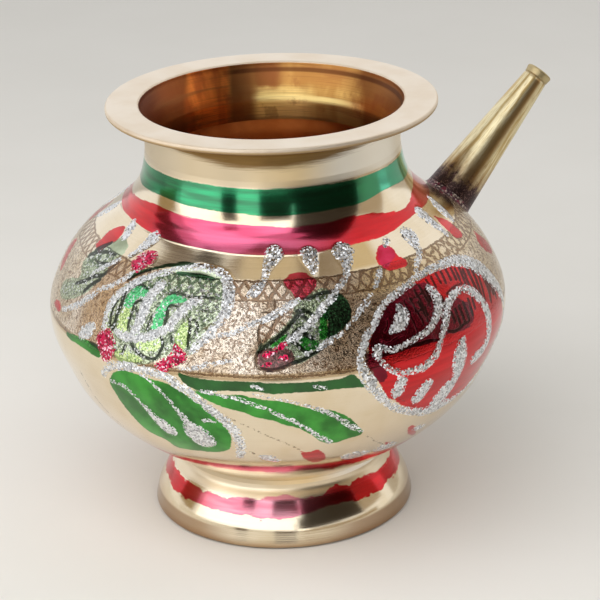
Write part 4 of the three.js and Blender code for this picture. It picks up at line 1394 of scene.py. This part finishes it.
def build_spout():
    turns = np.arange(SPOUT_SIDES) * 360 / SPOUT_SIDES
    lip_low = SPOUT_LENGTH - LIP_LENGTH
    outer_low, inner_low = saddle(turns, spout_radius, BURIED), saddle(turns, bore_radius, BURIED)
    rows = []
    for part in np.linspace(0, 1, 60):
        along = outer_low + part * (lip_low - outer_low)
        rows.append(on_spout(turns, spout_radius(along), along))
    for part in np.linspace(0, 1, 20):
        along = lip_low + part * (inner_low - lip_low)
        rows.append(on_spout(turns, bore_radius(along), along))
    tube = loft("spout_tube_dressed", rows, [0] * 59 + [1] * 21, [toned, inside])
    stand_for(tube, "spout_tube")
    bore = bore_radius(lip_low)
    neck = float(spout_radius(lip_low))
    round_at = LIP_RADIUS - LIP_ROUND
    outline = [(bore, lip_low)]
    outline += [(neck + out, lip_low + up) for out, up in ((-0.1, 0), (-0.14, 0.18), (0.06, 0.4), (0.1, 0.8))]
    outline += [(LIP_RADIUS - 0.06, lip_low + 1.3), (LIP_RADIUS, lip_low + 1.55)]
    outline += [tuple(p) for p in arc(round_at, SPOUT_LENGTH - LIP_ROUND, LIP_ROUND, 0, 90, 6)]
    outline += [(bore + LIP_ROUND / 2, SPOUT_LENGTH), (bore, SPOUT_LENGTH - LIP_ROUND / 2)]
    lip = turned("spout_lip_dressed", [(outline, 0)], LIP_SIDES, [lip_brass], lean=on_spout)
    stand_for(lip, "spout_lip")
    bead_out = saddle(turns, lambda a: spout_radius(a) + BEAD_WIDTH, 0.03)
    bead_in = saddle(turns, lambda a: spout_radius(a) + 0.03, 0.03)
    corner = on_spout(turns, spout_radius(bead_in) + 0.03, bead_in)
    low = on_spout(turns, spout_radius(bead_out) + BEAD_WIDTH, bead_out)
    high = on_spout(turns, spout_radius(bead_in + BEAD_HEIGHT) + 0.03, bead_in + BEAD_HEIGHT)
    rows = [corner]
    for part in np.linspace(0, 1, 10):
        rows.append(low * (1 - part) ** 2 + corner * 2 * part * (1 - part) + high * part ** 2)
    bead = loft("spout_bead_dressed", rows, [0] * len(rows), [braze])
    stand_for(bead, "spout_bead")


def loft(name, rows, strip, materials):
    """A closed piece through rings of points that come back to the first ring."""
    count, sides = len(rows), len(rows[0])
    spots = np.concatenate(rows)
    j = np.arange(sides)
    k = (j + 1) % sides
    faces, marks, wraps = [], [], []
    for i in range(count):
        n = (i + 1) % count
        faces.append(np.stack([i * sides + j, i * sides + k, n * sides + k, n * sides + j], axis=1))
        wraps.append(np.stack([j / sides, 0 * j + i, (j + 1) / sides, 0 * j + i,
                               (j + 1) / sides, 0 * j + i + 1, j / sides, 0 * j + i + 1], axis=1))
        marks.append(np.full(sides, strip[i]))
    mesh = build_mesh(name, spots, faces, marks, wraps, count)
    return dress(name, mesh, materials)


build_body()
build_collar()
build_foot()
build_spout()


def add_camera():
    forward, right, up = camera_axes()
    data = bpy.data.cameras.new("camera")
    data.sensor_width = SENSOR
    data.lens = CAMERA_LENS
    data.clip_end = 20
    camera = bpy.data.objects.new("camera", data)
    bpy.context.scene.collection.objects.link(camera)
    basis = np.eye(4)
    basis[:3, 0], basis[:3, 1], basis[:3, 2] = right, up, -forward
    basis[:3, 3] = 0, -CAMERA_BACK * MM, CAMERA_UP * MM
    round_pot = Matrix.Rotation(math.radians(90 - SPOUT_TURN), 4, "Z")
    round_pot.translation.x = AXIS_X * MM
    camera.matrix_world = round_pot @ Matrix(basis.tolist())
    bpy.context.scene.camera = camera


SOFT_LIGHT = 0.55

# Cards seen only in the metal: name, degrees round the pot, half width in degrees, distance, heights, shade.
# Every card glows with its shade and is no lamp: the dark ones paint shade and the pale ones and the window
# paint light into the metal's reflections.
CARDS = [
    ("flag_stripe", -34.5, 6, 130, 82, 150, (0.05, 0.04, 0.03)),
    ("flag_middle", 0.5, 12, 130, 82, 150, (0.07, 0.06, 0.045)),
    ("flag_block", 42.5, 27.5, 190, 48, 420, (0.035, 0.028, 0.02)),
    ("flag_side", 82, 12, 192, 48, 190, (0.45, 0.37, 0.27)),
    ("flag_left", -98.5, 10.5, 400, 66, 232, (0.36, 0.26, 0.13)),
    ("flag_gap", 14, 3, 189, 48, 112, (0.05, 0.04, 0.03)),
    ("flag_smear", -99, 8, 190, 150, 400, (0.16, 0.12, 0.09)),
    ("flag_smear_top", -92, 14, 190, 400, 620, (0.06, 0.05, 0.04)),
    ("flag_low_a", -37, 5, 300, 2, 145, (0.12, 0.09, 0.06)),
    ("flag_low_b", 0, 9, 300, 2, 145, (0.08, 0.06, 0.04)),
    ("flag_low_c", 50, 36, 330, 2, 60, (0.42, 0.34, 0.23)),
    ("flag_right", 130, 22, 240, 5, 100, (0.5, 0.46, 0.4)),
    ("glow_low", -45, 60, 345, 2, 70, (0.78, 0.74, 0.66)),
    ("flag_echo", -38.5, 6, 190, 222, 262, (0.55, 0.3, 0.28)),
    ("window_glow", -31.5, 51.5, 235, 48, 600, (1.8, 1.8, 1.8)),
]


CEILING = [(-0.17, -0.17), (0.205, -0.17), (0.205, 0.17), (-0.17, 0.17)]
CEILING_LAMP_REFLECTION = [(-0.126, 0.027), (-0.162, -0.05), (0.018, -0.136), (0.055, -0.059)]
CEILING_HEIGHT = 0.62


def overhead(name, corners, level, shade):
    """A level card high over the pot, which the shoulder mirrors; corners in metres from the pot's axis."""
    mesh = bpy.data.meshes.new(name)
    mesh.from_pydata([(x, y, 0) for x, y in corners], [], [(0, 3, 2, 1)])
    flag = dress(name, mesh, [glow_material(name, shade)])
    flag.location = (AXIS_X * MM, 0, level)
    only_in_metal(flag)


def glow_material(name, shade):
    s = Shader(name)
    glow = s.value("ShaderNodeEmission", {"Color": (*shade, 1), "Strength": 1.0})
    add_node(s.tree, "ShaderNodeOutputMaterial", {0: glow})
    return s.material


def only_in_metal(flag):
    for ray in ("camera", "diffuse", "shadow", "transmission", "volume_scatter"):
        setattr(flag, "visible_" + ray, False)


def card(name, turn, distance, low, high, width, shade):
    """An upright dark or pale card that shows only in the metal, turned toward the pot."""
    centre = place(np.array([turn]), distance, np.array([(low + high) / 2]))[0] * MM
    angle = math.radians(turn - SPOUT_TURN)
    mesh = bpy.data.meshes.new(name)
    w, h = width / 2 * MM, (high - low) / 2 * MM
    mesh.from_pydata([(0, -w, -h), (0, w, -h), (0, w, h), (0, -w, h)], [], [(0, 1, 2, 3)])
    flag = dress(name, mesh, [glow_material(name, shade)])
    flag.matrix_world = Matrix.Translation(centre) @ Matrix.Rotation(angle, 4, "Z")
    only_in_metal(flag)


def lamp(name, turn, distance, height, size, power):
    data = bpy.data.lights.new(name, "AREA")
    data.shape = "RECTANGLE"
    data.size, data.size_y = size
    data.energy = power
    light = bpy.data.objects.new(name, data)
    bpy.context.scene.collection.objects.link(light)
    spot = place(np.array([turn]), distance, np.array([height]))[0] * MM
    aim = np.array([AXIS_X, 0, 45]) * MM
    back = (spot - aim) / np.linalg.norm(spot - aim)
    right = np.cross((0, 0, 1), back)
    right /= np.linalg.norm(right)
    basis = np.eye(4)
    basis[:3, 0], basis[:3, 1], basis[:3, 2], basis[:3, 3] = right, np.cross(back, right), back, spot
    light.matrix_world = Matrix(basis.tolist())
    light.visible_glossy = False


def add_studio():
    world = bpy.data.worlds.new("studio")
    bpy.context.scene.world = world
    world.use_nodes = True
    tree = world.node_tree
    tree.nodes.clear()
    rays = add_node(tree, "ShaderNodeLightPath").outputs
    mirrored = {0: rays["Is Glossy Ray"], 1: rays["Is Transmission Ray"]}
    clear = add_node(tree, "ShaderNodeMath", mirrored, operation="MAXIMUM").outputs[0]
    direct = {0: rays["Is Camera Ray"], 1: clear}
    seen = add_node(tree, "ShaderNodeMath", direct, operation="MAXIMUM").outputs[0]
    soft, bright = (add_node(tree, "ShaderNodeBackground", {0: (1, 1, 1, 1), 1: level}).outputs[0]
                    for level in (SOFT_LIGHT, 1.0))
    mixed = add_node(tree, "ShaderNodeMixShader", {0: seen, 1: soft, 2: bright}).outputs[0]
    add_node(tree, "ShaderNodeOutputWorld", {0: mixed})
    mesh = bpy.data.meshes.new("floor")
    mesh.from_pydata([(-3, -3, 0), (3, -3, 0), (3, 3, 0), (-3, 3, 0)], [], [(0, 1, 2, 3)])
    s = Shader("floor")
    grain = s.noise(s.where(), 0.02, 3.0)
    tone = s.mix(grain, colour(224, 221, 214), colour(230, 227, 221))
    floor = dress("floor", mesh, [s.finish(tone, 0.8, s.bump(grain * 0.01), metallic=0.0)])
    floor.location.z = -0.0001
    lamp("key", -38, 330, 470, (0.8, 0.4), 2.6)
    lamp("fill", 105, 900, 600, (0.6, 0.4), 1.4)
    for name, turn, half, away, low, high, shade in CARDS:
        card(name, turn, away, low, high, 2 * away * math.tan(math.radians(half)), shade)
    # Two glowing cards over the pot, seen only in the metal: a dark one paints shade on the shoulder, a pale
    # one paints a lamp's reflection; neither is a lamp.
    overhead("flag_ceiling", CEILING, CEILING_HEIGHT, (0.29, 0.23, 0.165))
    overhead("painted_lamp_reflection", CEILING_LAMP_REFLECTION, CEILING_HEIGHT - 0.008, (0.72, 0.62, 0.45))


add_camera()
add_studio()
bpy.context.scene.view_settings.view_transform = "Standard"
